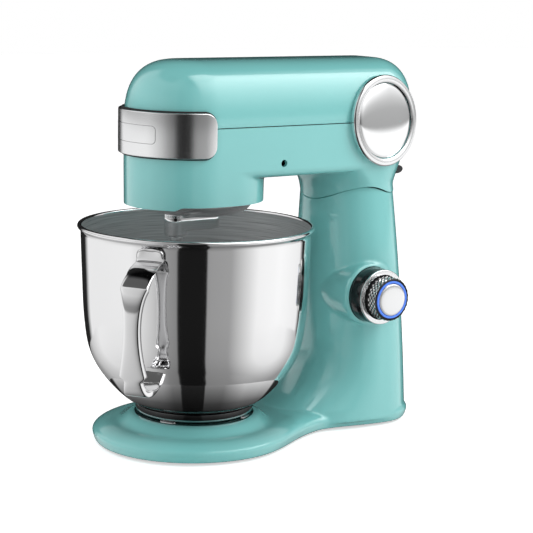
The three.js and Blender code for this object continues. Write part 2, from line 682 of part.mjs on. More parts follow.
function addGearTrain() {
  const at = (manifold) => toY(manifold).translate([0, 0, LAYSHAFT_Z]);
  const crownRadius = (CROWN_TEETH * BEVEL_MODULE) / 2;
  const bevelRadius = (BEVEL_TEETH * BEVEL_MODULE) / 2;
  node('layshaft', at(rod(4, -58, 85.5, 16)), steel);
  node('reduction_gear', at(spurGear(REDUCTION_TEETH, SPUR_MODULE, 69, 79, 4.15, Math.PI / 2)), brass);
  const pinion = toY(bevelGear(BEVEL_TEETH, bevelRadius, -crownRadius, 2.6, 0.3, 0));
  node('bevel_pinion', cut(pinion, toY(rod(4.15, 0, 60, 16))).translate([0, 0, LAYSHAFT_Z]), steel);
  const crown = bevelGear(CROWN_TEETH, crownRadius, bevelRadius, 7, 0.3, rad(90));
  const crownHub = join(crown, rod(12, -14, -bevelRadius + 0.1, 16));
  node('crown_gear', cut(crownHub, rod(6.15, -20, 2, 14)).translate([0, 0, LAYSHAFT_Z]), steel);
  node('layshaft_bearing', at(ring(9, 4.3, 50, 56, 14)), steel);
  node('main_bearing', ring(13.7, 6.3, 246, 254, 16), steel);
  node('ring_gear', ringGear(), steel);
}

function addPlanetary() {
  node('main_shaft', rod(6, 207, LAYSHAFT_Z - 6.2, 14), steel);
  const arm = new THREE.Shape();
  arm.moveTo(-11, -ORBIT);
  arm.absarc(0, -ORBIT, 11, Math.PI, 2 * Math.PI);
  arm.lineTo(11, 14);
  arm.bezierCurveTo(11, 20, 6, 22, 0, 22);
  arm.bezierCurveTo(-6, 22, -11, 20, -11, 14);
  const armPlate = new THREE.ExtrudeGeometry(arm, { depth: 13, bevelEnabled: false, curveSegments: 10 });
  const armBody = solid(armPlate.translate(0, 0, 201.5));
  const boss = rod(11, 197, 230.5, 20).translate([0, -ORBIT, 0]);
  const hub = rod(9.6, 203, 231, 16);
  const carrier = cut(join(armBody, boss, hub), rod(6.15, 205, 240, 14),
    rod(5.3, 190, 240, 14).translate([0, -ORBIT, 0]));
  node('planet_carrier', carrier, chrome);
  const dish = turned([[0, 214.9], [30, 215.6], [44, 219], [51.2, 227], [51.2, 230], [49.4, 230],
    [43, 220.9], [0, 216.5]], 32);
  const slot = join(rod(11.3, 200, 240, 16), rod(11.3, 200, 240, 16).translate([0, -ORBIT, 0]),
    box([-11.3, -ORBIT, 200], [11.3, 0, 240]));
  node('drip_ring', cut(dish, slot), chrome);
  node('beater_shaft', rod(5, 160, 241, 14).translate([0, -ORBIT, 0]), steel);
  node('planet_gear', spurGear(PLANET_TEETH, PLANET_MODULE, 233, 240, 5.15, -Math.PI / 2)
    .translate([0, -ORBIT, 0]), steel);
  node('beater_coupling', ring(6.6, 5.2, 181, 196, 14).translate([0, -ORBIT, 0]), steel);
}

// One window of the flat beater, on the given side, above or below its cross bar.
function beaterWindow(side, upper) {
  const window = new THREE.Shape();
  if (upper) {
    window.moveTo(side * 6, 138);
    window.bezierCurveTo(side * 24, 134, side * 38, 126, side * 40, 106);
    window.lineTo(side * 6, 98);
  } else {
    window.moveTo(side * 6, 86);
    window.lineTo(side * 39, 94);
    window.bezierCurveTo(side * 37, 78, side * 31, 68, side * 20, 60);
    window.lineTo(side * 6, 60);
  }
  return beaterPlate(window, 20);
}

function beaterPlate(shape, thickness) {
  const geometry = new THREE.ExtrudeGeometry(shape, {
    depth: thickness, bevelEnabled: false, curveSegments: 7,
  });
  return solid(geometry.rotateX(Math.PI / 2).translate(0, thickness / 2, 0));
}

function addBeater() {
  const frame = new THREE.Shape();
  frame.moveTo(-9, 152);
  frame.bezierCurveTo(-30, 146, -56, 134, -56, 108);
  frame.bezierCurveTo(-56, 78, -42, 62, -26, 50);
  frame.lineTo(26, 50);
  frame.bezierCurveTo(42, 62, 56, 78, 56, 108);
  frame.bezierCurveTo(56, 134, 30, 146, 9, 152);
  const windows = [1, -1].flatMap((side) => [beaterWindow(side, true), beaterWindow(side, false)]);
  const socket = rod(9.5, 146, 178, 14);
  const beater = cut(join(beaterPlate(frame, 9), socket), ...windows, rod(5.3, 158, 190, 20));
  node('flat_beater', beater.translate([0, -ORBIT, 0]), zinc);
}

function addBowl() {
  node('mixing_bowl', bowl(), polished);
  node('bowl_foot_ring', bowlFootRing(), chrome);
  node('bowl_handle', bowlHandle(), polished);
}

addStand();
addDial();
addHeadShells();
addLever();
addMotor();
addGearTrain();
addPlanetary();
addBeater();
addBowl();

export default mixer;
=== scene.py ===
"""Looks of the tilt-head stand mixer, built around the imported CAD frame."""
import math

import bmesh
import bpy
import numpy as np
from mathutils import Matrix, Vector


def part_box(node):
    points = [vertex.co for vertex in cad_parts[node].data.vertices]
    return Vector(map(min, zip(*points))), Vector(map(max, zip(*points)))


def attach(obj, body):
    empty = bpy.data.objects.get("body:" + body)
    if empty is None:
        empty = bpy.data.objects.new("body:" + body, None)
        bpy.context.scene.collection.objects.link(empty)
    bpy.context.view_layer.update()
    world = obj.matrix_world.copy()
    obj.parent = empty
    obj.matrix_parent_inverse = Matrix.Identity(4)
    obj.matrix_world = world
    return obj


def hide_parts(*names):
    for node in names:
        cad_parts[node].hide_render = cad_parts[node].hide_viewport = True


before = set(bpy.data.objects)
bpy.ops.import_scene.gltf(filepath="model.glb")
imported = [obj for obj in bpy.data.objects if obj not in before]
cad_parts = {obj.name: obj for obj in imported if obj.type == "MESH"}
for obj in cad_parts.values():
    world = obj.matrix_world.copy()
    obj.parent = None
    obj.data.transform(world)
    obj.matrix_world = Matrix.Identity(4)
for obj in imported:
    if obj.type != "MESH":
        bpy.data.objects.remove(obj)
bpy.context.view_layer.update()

# -------- driving sizes, millimetres
MM = 0.001
low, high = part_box("main_shaft")
AXIS_Y = (low.y + high.y) / 2 / MM  # the bowl axis; every shape below is drawn around it
HEAD_HALF = 57.4
HEAD_TOP = 357.4
HEAD_SPLIT = 299.0
HEAD_REAR = 229.7
NOSE_Y = -12.0
ARCH_Z = 252.0
BOSS_REAR = 62.0
NOSE_BOTTOM = 226.0
CROWN_START = 300.0
CROWN_RUN = 50.0
SEAM_REAR = 229.4
HINGE = (208.0, 225.5)
BARREL = 6.5
LUG_X = 19  # the middle of each hinge lug, from the mixer's middle plane
COLUMN_SIDE_Y = 177.0
BASE_BOTTOM = 2.4
BASE_TOP = 20.0
BASE_REAR = 231.7
HUB_Z = 294.0
DIAL = (163.0, 133.5)
KNURL_ROOT = 19.4
KNURL_BLACK = 0.82  # the grip is black up to this height above its root
BAND_OUTER = 5.1  # the nose band's outer face, from the head's wall
CORNER_POINTS = 13  # in each corner of a panel round the nose
BADGE = (52.5, 174.0, 299.5)
BADGE_RADIUS = 43.3
ORBIT = 22.5
BEATER_PLACE = Matrix.Translation((0, -ORBIT, 0))
HANDLE_ANGLE = math.radians(-54.4)
RIM_RADIUS = 109.8
RIM_Z = 204.0


# -------- mesh helpers
def new_object(name, verts, faces, local=None):
    """A mesh object from points in millimetres around the bowl axis, placed in the row frame."""
    points = np.asarray(verts, float).reshape(-1, 3)
    if local is not None:
        matrix = np.array(local)
        points = points @ matrix[:3, :3].T + matrix[:3, 3]
    points = (points + [0, AXIS_Y, 0]) * MM
    mesh = bpy.data.meshes.new(name)
    mesh.from_pydata([tuple(p) for p in points], [], [tuple(int(i) for i in f) for f in faces])
    obj = bpy.data.objects.new(name, mesh)
    bpy.context.scene.collection.objects.link(obj)
    clean(obj)
    return obj


def clean(obj):
    work = bmesh.new()
    work.from_mesh(obj.data)
    bmesh.ops.remove_doubles(work, verts=work.verts, dist=1e-6)
    bmesh.ops.recalc_face_normals(work, faces=work.faces)
    work.to_mesh(obj.data)
    work.free()


def quads(count, levels, wrap=False):
    """Quads between successive rings of points; wrap joins the last ring to the first."""
    faces = []
    for level in range(levels if wrap else levels - 1):
        near, far = level * count, (level + 1) % levels * count
        for i in range(count):
            j = (i + 1) % count
            faces.append((near + i, near + j, far + j, far + i))
    return faces


def tube(count, levels):
    """The faces of a tube through rings of points, with a cap on each end."""
    last = (levels - 1) * count
    return [tuple(range(count))[::-1]] + quads(count, levels) + [tuple(range(last, last + count))]


def arc(centre, radii, start, end, count):
    """Points along a round or elliptical arc, both ends included; the angles are in radians."""
    return [(centre[0] + radii[0] * math.cos(a), centre[1] + radii[1] * math.sin(a))
            for a in np.linspace(start, end, count)]


def round_arc(radius, start, end, count, centre=(0, 0)):
    return arc(centre, (radius, radius), start, end, count)


def loft(name, levels, local=None):
    """A closed body through outlines of equal length, each with its height."""
    verts = [(x, y, z) for outline, z in levels for x, y in outline]
    return new_object(name, verts, tube(len(levels[0][0]), len(levels)), local)


def lathe(name, profile, local=None, segments=160):
    """The profile [(radius, z), ...] turned about the local Z axis. It closes unless it ends on the axis."""
    closed = profile[0][0] > 0
    rows = len(profile)
    verts = []
    for i in range(segments):
        angle = 2 * math.pi * i / segments
        verts += [(r * math.cos(angle), r * math.sin(angle), z) for r, z in profile]
    faces = []
    for i in range(segments):
        a, b = i * rows, ((i + 1) % segments) * rows
        for k in range(rows if closed else rows - 1):
            m = (k + 1) % rows
            corner = [a + k, b + k, b + m, a + m]
            if profile[k][0] == 0:
                corner = [a + k, b + m, a + m]
            elif profile[m][0] == 0:
                corner = [a + k, b + k, a + m]
            faces.append(corner)
    return new_object(name, verts, faces, local)


def rounded(profile, radius, steps=4, closed=None):
    """The profile with each corner turned into a small arc."""
    points = [np.array(p, float) for p in profile]
    ring = profile[0][0] > 0 if closed is None else closed
    result = []
    for i, point in enumerate(points):
        if not ring and i in (0, len(points) - 1):
            result.append(tuple(point))
            continue
        before = points[i - 1] - point
        after = points[(i + 1) % len(points)] - point
        reach = min(radius, 0.45 * np.linalg.norm(before), 0.45 * np.linalg.norm(after))
        start = point + before / np.linalg.norm(before) * reach
        end = point + after / np.linalg.norm(after) * reach
        for k in range(steps + 1):
            t = k / steps
            result.append(tuple((1 - t) ** 2 * start + 2 * t * (1 - t) * point + t * t * end))
    return result


def prism(name, outline, low_x, high_x, local=None):
    """An outline in the local (Y, Z) plane pushed out along X."""
    verts = [(x, y, z) for x in (low_x, high_x) for y, z in outline]
    return new_object(name, verts, tube(len(outline), 2), local)


def block(name, low_corner, high_corner):
    (x0, y0, z0), (x1, y1, z1) = low_corner, high_corner
    return prism(name, [(y0, z0), (y1, z0), (y1, z1), (y0, z1)], x0, x1)


def evaluated(obj):
    """Applies the object's modifiers."""
    bpy.context.view_layer.update()
    graph = bpy.context.evaluated_depsgraph_get()
    mesh = bpy.data.meshes.new_from_object(obj.evaluated_get(graph), depsgraph=graph)
    obj.modifiers.clear()
    old = obj.data
    obj.data = mesh
    bpy.data.meshes.remove(old)
    return obj


def boolean(obj, *others, operation="DIFFERENCE"):
    for other in others:
        step = obj.modifiers.new("cut", "BOOLEAN")
        step.object = other
        step.operation = operation
        step.solver = "EXACT"
    evaluated(obj)
    for other in others:
        bpy.data.objects.remove(other)
    return obj


def merged(name, *objs):
    """Several closed meshes in one, still overlapping."""
    work = bmesh.new()
    for obj in objs:
        work.from_mesh(obj.data)
    mesh = bpy.data.meshes.new(name)
    work.to_mesh(mesh)
    work.free()
    for obj in objs:
        bpy.data.objects.remove(obj)
    whole = bpy.data.objects.new(name, mesh)
    bpy.context.scene.collection.objects.link(whole)
    return whole


def blended(obj, voxel, rounds):
    """One skin round overlapping bodies, with its inner corners filled and outer ones softened."""
    skin = obj.modifiers.new("skin", "REMESH")
    skin.mode = "VOXEL"
    skin.voxel_size = voxel * MM
    soft = obj.modifiers.new("soft", "SMOOTH")
    soft.factor = 0.5
    soft.iterations = rounds
    return evaluated(obj)


def bevelled(obj, width, segments=3, angle=35):
    edge = obj.modifiers.new("edge", "BEVEL")
    edge.width = width * MM
    edge.segments = segments
    edge.limit_method = "ANGLE"
    edge.angle_limit = math.radians(angle)
    edge.use_clamp_overlap = True
    return evaluated(obj)


def shaded(obj, angle=32):
    """Smooth shading that keeps edges sharper than the angle."""
    work = bmesh.new()
    work.from_mesh(obj.data)
    limit = math.radians(angle)
    for face in work.faces:
        face.smooth = True
    for edge in work.edges:
        edge.smooth = len(edge.link_faces) == 2 and edge.calc_face_angle(0) < limit
    work.to_mesh(obj.data)
    work.free()
    return obj


def finish_piece(obj, body, slot, material, *nodes, angle=32):
    shaded(obj, angle)
    obj.data.materials.clear()
    obj.data.materials.append(material)
    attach(obj, body)
    if nodes:
        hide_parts(*nodes)
    return obj


# -------- materials
def principled(name, color, roughness, metallic=0.0, **extra):
    material = bpy.data.materials.new(name)
    material.use_nodes = True
    shader = material.node_tree.nodes["Principled BSDF"]
    shader.inputs["Base Color"].default_value = (*color, 1)
    shader.inputs["Roughness"].default_value = roughness
    shader.inputs["Metallic"].default_value = metallic
    for key, value in extra.items():
        shader.inputs[key.replace("_", " ")].default_value = value
    return material, material.node_tree, shader


def noise(tree, scale, detail=3.0, stretch=(1, 1, 1)):
    nodes, links = tree.nodes, tree.links
    where = nodes.new("ShaderNodeTexCoord")
    fit = nodes.new("ShaderNodeMapping")
    fit.inputs["Scale"].default_value = stretch
    texture = nodes.new("ShaderNodeTexNoise")
    texture.inputs["Scale"].default_value = scale
    texture.inputs["Detail"].default_value = detail
    links.new(where.outputs["Object"], fit.inputs["Vector"])
    links.new(fit.outputs["Vector"], texture.inputs["Vector"])
    return texture.outputs["Fac"]


def bump(tree, shader, height, strength, distance):
    node = tree.nodes.new("ShaderNodeBump")
    node.inputs["Strength"].default_value = strength
    node.inputs["Distance"].default_value = distance
    tree.links.new(height, node.inputs["Height"])
    tree.links.new(node.outputs["Normal"], shader.inputs["Normal"])


def spread(tree, value, low_value, high_value):
    node = tree.nodes.new("ShaderNodeMapRange")
    node.inputs["From Min"].default_value = 0.3
    node.inputs["From Max"].default_value = 0.7
    node.inputs["To Min"].default_value = low_value
    node.inputs["To Max"].default_value = high_value
    tree.links.new(value, node.inputs["Value"])
    return node.outputs["Result"]


def tinted(tree, shader, value, dark, light):
    ramp = tree.nodes.new("ShaderNodeValToRGB")
    ramp.color_ramp.elements[0].color = (*dark, 1)
    ramp.color_ramp.elements[0].position = 0.3
    ramp.color_ramp.elements[1].color = (*light, 1)
    ramp.color_ramp.elements[1].position = 0.7
    tree.links.new(value, ramp.inputs["Fac"])
    tree.links.new(ramp.outputs["Color"], shader.inputs["Base Color"])


def enamel():
    material, tree, shader = principled(
        "glossy_enamel", (0.22, 0.60, 0.59), 0.22, Coat_Weight=1.0, Coat_Roughness=0.03)
    tinted(tree, shader, noise(tree, 9, 2), (0.213, 0.592, 0.578), (0.225, 0.61, 0.596))
    bump(tree, shader, noise(tree, 260, 2), 0.05, 0.0004)
    return material


def metal(name, color, roughness, grain=420, stretch=(1, 1, 1), depth=0.04, spread_by=0.03):
    material, tree, shader = principled(name, color, roughness, 1.0)
    field = noise(tree, grain, 4, stretch)
    tree.links.new(spread(tree, field, roughness, roughness + spread_by), shader.inputs["Roughness"])
    bump(tree, shader, field, depth, 0.0002)
    return material


def plastic(name, color, roughness, grain=900, depth=0.12):
    material, tree, shader = principled(name, color, roughness)
    field = noise(tree, grain, 3)
    light = tuple(min(1, c * 1.35 + 0.002) for c in color)
    tinted(tree, shader, field, color, light)
    tree.links.new(spread(tree, field, roughness, roughness + 0.08), shader.inputs["Roughness"])
    bump(tree, shader, field, depth, 0.0003)
    return material


def light_guide():
    material, tree, shader = principled("light_guide", (0.05, 0.16, 0.62), 0.25)
    field = noise(tree, 300, 2)
    tinted(tree, shader, field, (0.05, 0.15, 0.58), (0.08, 0.22, 0.72))
    shader.inputs["Emission Color"].default_value = (0.08, 0.2, 0.85, 1)
    shader.inputs["Emission Strength"].default_value = 0.35
    return material


def bowl_inside():
    material, tree, shader = principled("brushed_bowl_inside", (0.6, 0.6, 0.61), 0.34, 0.3)
    lines = noise(tree, 1, 5, (18, 18, 1500))
    tinted(tree, shader, lines, (0.46, 0.46, 0.465), (0.74, 0.74, 0.745))
    tree.links.new(spread(tree, lines, 0.26, 0.42), shader.inputs["Roughness"])
    bump(tree, shader, lines, 0.25, 0.0002)
    return material


ENAMEL = enamel()
CHROME = metal("mirror_chrome", (0.90, 0.905, 0.91), 0.035, depth=0.01)
SATIN = metal("satin_chrome", (0.83, 0.835, 0.84), 0.17, 700, (1, 1, 6), 0.05)
SATIN_BAND = metal("satin_band", (0.84, 0.845, 0.85), 0.2, 700, (1, 1, 6), 0.03, 0.05)
POLISHED = metal("polished_steel", (0.82, 0.82, 0.825), 0.05, 500, (1, 1, 5), 0.015, 0.03)
INSIDE = bowl_inside()
DISH = metal("drip_dish_chrome", (0.94, 0.94, 0.945), 0.1, 600, (1, 1, 4), 0.03, 0.04)
STEEL = metal("machined_steel", (0.55, 0.555, 0.56), 0.28, 800, (1, 1, 4), 0.12, 0.1)
# Chrome darkened to paint shade: on the bowl's foot ring, painted shade under the bowl; on the band plaque's
# raised bead, a painted dark line like a groove.
PAINTED_SHADE_CHROME = metal("shaded_chrome", (0.42, 0.425, 0.43), 0.06, depth=0.02)
ALUMINIUM = metal("cast_aluminium", (0.66, 0.665, 0.67), 0.36, 600, (1, 1, 1), 0.2, 0.1)
BRASS = metal("brass", (0.70, 0.52, 0.25), 0.3, 700, (1, 4, 1), 0.1, 0.1)
COPPER = metal("copper", (0.70, 0.38, 0.24), 0.3, 600, (1, 5, 1), 0.1, 0.1)
BLACK = plastic("black_plastic", (0.012, 0.012, 0.013), 0.3)
GLOSS_BLACK = plastic("gloss_black", (0.008, 0.008, 0.009), 0.12, 500, 0.03)
RUBBER = plastic("rubber", (0.015, 0.015, 0.016), 0.7, 1300, 0.3)
NYLON = plastic("nylon", (0.78, 0.75, 0.68), 0.42)
LAMINATE = plastic("circuit_board", (0.03, 0.14, 0.06), 0.4, 300, 0.2)
LIGHT = light_guide()


# -------- plan outlines
def plan(half, front, side, rear, corner, front_steps=96, corner_steps=28, side_steps=16):
    """Elliptical front, straight sides, rounded rear corners, anticlockwise from the left side."""
    points = arc((0, side), (half, side - front), math.pi, 2 * math.pi, front_steps + 1)
    radius = min(corner, half * 0.98, rear - side - 0.5)
    wall = [side + (rear - radius - side) * i / side_steps for i in range(1, side_steps)]
    points += [(half, y) for y in wall]
    for x, start in ((half - radius, 0.0), (radius - half, math.pi / 2)):
        points += round_arc(radius, start, start + math.pi / 2, corner_steps + 1, (x, rear - radius))
    return points + [(-half, y) for y in wall[::-1]]


def inwards(outline, distance):
    points = np.array(outline, float)
    run = np.roll(points, -1, 0) - np.roll(points, 1, 0)
    run /= np.linalg.norm(run, axis=1)[:, None]
    return [tuple(p) for p in points + np.stack([-run[:, 1], run[:, 0]], 1) * distance]


def bezier(a, b, c, d, steps):
    a, b, c, d = (np.array(p, float) for p in (a, b, c, d))
    for i in range(1, steps + 1):
        t = i / steps
        yield tuple((1 - t) ** 3 * a + 3 * t * (1 - t) ** 2 * b + 3 * t * t * (1 - t) * c + t ** 3 * d)


def base_plan(distance=0.0):
    """The plate's outline, drawn in by a distance: round in front, waisted, with round rear corners."""
    right = arc((0, 2), (93.3, 98.8), -math.pi / 2, 0, 49)
    right += bezier((93.3, 2), (93.3, 46), (62, 70), (52, 112), 40)
    right += bezier((52, 112), (48, 132), (62, 160), (62, BASE_REAR - 40), 30)
    right += round_arc(40, 0, math.pi / 2, 25, (22, BASE_REAR - 40))[1:]
    left = [(-x, y) for x, y in right[1:]][::-1]
    return inwards(right + left, distance)


def crown_inset(z):
    rise = min(1.0, max(0.0, (z - CROWN_START) / (HEAD_TOP - CROWN_START)))
    return CROWN_RUN * (1 - (1 - rise ** 2.6) ** (1 / 2.6))


def head_rear(z):
    rise = min(1.0, max(0.0, (z - 238) / 62))
    return 210.5 + (HEAD_REAR - 210.5) * rise ** 0.9


def head_plan(z, extra=0.0):
    inset = crown_inset(z) - extra
    return plan(HEAD_HALF - inset, NOSE_Y - HEAD_HALF + inset, NOSE_Y, head_rear(z) - inset * 0.9,
                max(6.0, 45 - inset))


def boss_plan(inset):
    half = HEAD_HALF - inset
    return plan(half, NOSE_Y - half, NOSE_Y, BOSS_REAR - inset, half)


def neck_plan(z, inset=0.0):
    flare = max(0.0, (z - SEAM_REAR) / 30)
    return plan(50.5 + 6.9 * min(1, flare) ** 1.5 - inset, 131 - 17 * flare ** 2.5 + inset,
                COLUMN_SIDE_Y - 32 * min(1, flare) ** 1.2, head_rear(z) - inset, 34 + 10 * flare - inset / 2)


def column_plan(z, inset=0.0):
    rise = min(1.2, max(0.0, (z - BASE_TOP) / 200))
    foot = min(1.05, max(0.0, (85 - z) / 65))
    rear = min(BASE_REAR - 0.4, 210 + 21 * (1 - (z - BASE_TOP) / 208))
    return plan(62 - 12 * rise ** 1.9 - inset, 131 - 45 * foot ** 2.6 + inset, COLUMN_SIDE_Y,
                rear - inset, 32 + 14 * (1 - rise) - inset / 2)


def seam_line(lowered):
    """The side view of the joint between head and column, from front to rear."""
    points = [(100, 219 - lowered), (130, 221 - lowered)]
    points += bezier((130, 221 - lowered), (136, 226.5 - lowered), (146, 236.2 - lowered),
                     (163, 236.4 - lowered), 24)
    points += bezier((163, 236.4 - lowered), (176, 236.4 - lowered), (184, SEAM_REAR - lowered),
                     (194, SEAM_REAR - lowered), 24)
    return points + [(250, SEAM_REAR - lowered)]


def along_x(offset_y, offset_z, start=0.0):
    """Local Z along +X, for lathed pieces."""
    return Matrix(((0, 0, 1, start), (0, 1, 0, offset_y), (-1, 0, 0, offset_z), (0, 0, 0, 1)))


def along_y(offset_z, start=0.0):
    return Matrix(((1, 0, 0, 0), (0, 0, 1, start), (0, -1, 0, offset_z), (0, 0, 0, 1)))


def badge_matrix(side):
    turn, lift = math.radians(8), math.radians(4)
    out = Vector((side * math.cos(turn), math.sin(turn), math.sin(lift))).normalized()
    across = Vector((0, 0, 1)).cross(out).normalized()
    up = out.cross(across)
    return Matrix((
        (across.x, up.x, out.x, side * BADGE[0]), (across.y, up.y, out.y, BADGE[1]),
        (across.z, up.z, out.z, BADGE[2]), (0, 0, 0, 1)))


def rod(name, radius, start, end, local=None, segments=96):
    return lathe(name, [(0, start), (radius, start), (radius, end), (0, end)], local, segments)


# -------- stand
def stand_shell():
    plate = loft("plate", [
        (base_plan(3.8), BASE_BOTTOM), (base_plan(2.0), BASE_BOTTOM + 2.2), (base_plan(0), 11.8),
        (base_plan(0.5), 13.4), (base_plan(1.7), 14.7), (base_plan(4), 16.4), (base_plan(7), 17.9),
        (base_plan(11), 19.2), (base_plan(17), BASE_TOP)])
    mound_profile = [(0, 12), (73, 12), (73, 19.7)] + list(
        bezier((73, 19.9), (67, 20.6), (65, 26.6), (57.6, 28), 16)) + [(54, 28), (0, 28)]
    dial_boss = lathe("dial_boss", [(0, 0), (29.6, 0), (30.6, 30), (30.2, 54), (29.4, 58.4), (0, 58.4)],
                      along_x(*DIAL))
    heights = [8, 20] + list(np.linspace(24, 90, 23)) + list(np.linspace(96, 246, 16))
    tower = loft("tower", [(column_plan(z), z) for z in heights])
    shell = blended(merged("stand_shell", plate, lathe("mound", mound_profile), tower, dial_boss), 1.5, 9)
    above = prism("above", seam_line(1.2) + [(250, 300), (100, 300)], -90, 90)
    rear = block("rear", (-90, HINGE[0] - 3, HINGE[1] + 0.3), (90, 260, 290))
    recess = lathe("recess", rounded([(0, 18.6), (56, 18.6), (56.4, 40), (0, 40)], 0.6))
    hollow = loft("hollow", [(column_plan(24, 7), -2)] + [
        (column_plan(z, 5), z) for z in (46, 60, 78, 110, 150, 206)])
    under = loft("under", [(base_plan(6), 0), (base_plan(6), 12)])
    trough = rod("trough", BARREL + 0.6, -24.9, 24.9, along_x(*HINGE))
    socket = rod("socket", 27, 38, 90, along_x(*DIAL))
    gland = rod("gland", 11.4, 196, 260, along_y(44))
    strike = block("strike", (-9.3, 185.7, 206.7), (9.3, 193.3, 245))
    boolean(shell, above, rear, recess, hollow, under, trough, socket, gland, strike)
    lugs = [rod("lug", BARREL - 0.3, x - 4.7, x + 4.7, along_x(*HINGE)) for x in (-LUG_X, LUG_X)]
    roots = [block("root", (x - 4.7, HINGE[0] - 6, 210), (x + 4.7, HINGE[0] + 3.4, HINGE[1]))
             for x in (-LUG_X, LUG_X)]
    boolean(shell, *lugs, *roots, operation="UNION")
    bevelled(shell, 0.5, 2, 55)
    finish_piece(shell, "stand", "enamel", ENAMEL, "base_casting", angle=40)


def rubber_feet():
    for i in range(1, 6):
        name = f"rubber_foot_{i}"
        corner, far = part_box(name)
        x, y = (corner.x + far.x) / 2 / MM, (corner.y + far.y) / 2 / MM - AXIS_Y
        profile = rounded([(0, 0), (9, 0), (10.4, 1.2), (10.4, 2.7), (9, 2.7), (9, 9), (0, 9)], 0.4)
        foot = lathe(f"soft_foot_{i}", profile, Matrix.Translation((x, y, 0)), 64)
        finish_piece(foot, "stand", "rubber", RUBBER, name)


# -------- dial
def knurled_ring():
    """The grip of the dial: a sleeve covered with raised diamonds."""
    depth, start, end, diamonds, rows = 1.5, 77.2, 90.0, 26, 3
    across, along = diamonds * 10, rows * 14
    verts = []
    for k in range(along + 1):
        v = k / along
        fade = min(1.0, 8 * v, 16 * (1 - v))
        for i in range(across):
            u = i / across * diamonds
            cell = abs(((u + v * rows) % 1) - 0.5) + abs(((u - v * rows) % 1) - 0.5)
            r = KNURL_ROOT + depth * fade * min(1.0, cell * 1.15)
            angle = 2 * math.pi * i / across
            verts.append((r * math.cos(angle), r * math.sin(angle), start + (end - start) * v))
    return new_object("dial_knurl", verts, tube(across, along + 1), along_x(*DIAL))


def knurled_grip(place):
    """Bright diamonds with black between them."""
    grip = boolean(knurled_ring(), rod("core", 19.25, 70, 95, place))
    finish_piece(grip, "dial", "black_plastic", CHROME, angle=20)
    grip.data.materials.append(BLACK)
    for face in grip.data.polygons:
        y, z = face.center.y / MM - AXIS_Y - DIAL[0], face.center.z / MM - DIAL[1]
        face.material_index = int(math.hypot(y, z) < KNURL_ROOT + KNURL_BLACK)


def dial():
    place = along_x(*DIAL)
    collar = lathe("dial_base", rounded([
        (4, 47), (26.6, 47), (26.6, 68), (26.0, 72), (25.4, 74), (22, 74), (22, 68), (4, 68)], 0.6), place)
    finish_piece(collar, "stand", "black_plastic", GLOSS_BLACK, "dial_collar")
    bezel = lathe("dial_trim", rounded([
        (26.4, 74.3), (26.4, 75.4), (25.9, 76), (21.8, 76.2), (21.2, 75.8), (21.2, 74.3)], 0.3), place)
    finish_piece(bezel, "stand", "chrome", SATIN, "dial_bezel")
    body = lathe("dial_body", rounded([
        (3.4, 70), (20.2, 70), (20.2, 77), (19.2, 77.2), (19.2, 89.2), (18.3, 89.6), (18.2, 88.8),
        (3.4, 88.8)], 0.25), place)
    finish_piece(body, "dial", "black_plastic", BLACK, "speed_dial")
    knurled_grip(place)
    halo = lathe("dial_halo", rounded([(15.8, 89.1), (17.9, 89.1), (17.9, 90.2), (15.8, 90.2)], 0.3), place)
    finish_piece(halo, "dial", "light_ring", LIGHT, "dial_light_ring")
    face = arc((0, 90.35), (14.6, 1.0), 0.05, math.pi / 2, 14)[:-1] + [(0, 91.35)]
    cap = lathe("dial_button", [(0, 89.1), (15.4, 89.1), (15.4, 89.9), (15.1, 90.3)] + face, place)
    finish_piece(cap, "dial", "chrome", SATIN, "dial_cap")


# -------- head
def badge_pads():
    return [rod("pad", BADGE_RADIUS - 0.6, -24, 1.9, badge_matrix(side)) for side in (1, -1)]


def badge_pockets():
    return [rod("pocket", BADGE_RADIUS + 0.35, 1.05, 40, badge_matrix(side)) for side in (1, -1)]


def hub_bore():
    return rod("bore", 16.3, -90, -38, along_y(HUB_Z))


def upper_shell():
    rises = [1 - (1 - t) ** 2 for t in np.linspace(0, 1, 30)]
    heights = [HEAD_SPLIT + 0.35, 304] + [306 + (HEAD_TOP - 306) * t for t in rises]
    outside = loft("head_cover", [(head_plan(z), z) for z in heights])
    bevelled(outside, 0.45, 2, 50)
    boolean(outside, *badge_pads(), operation="UNION")
    inner_heights = [HEAD_SPLIT - 2] + list(np.linspace(305, 353, 14))
    inner = loft("inner", [(head_plan(z, -3.5), z - 0.5) for z in inner_heights])
    boolean(outside, inner, block("below", (-110, -90, 200), (110, 260, HEAD_SPLIT + 0.35)), hub_bore(),
            *badge_pockets())
    finish_piece(outside, "head", "enamel", ENAMEL, "head_upper_cover", angle=35)


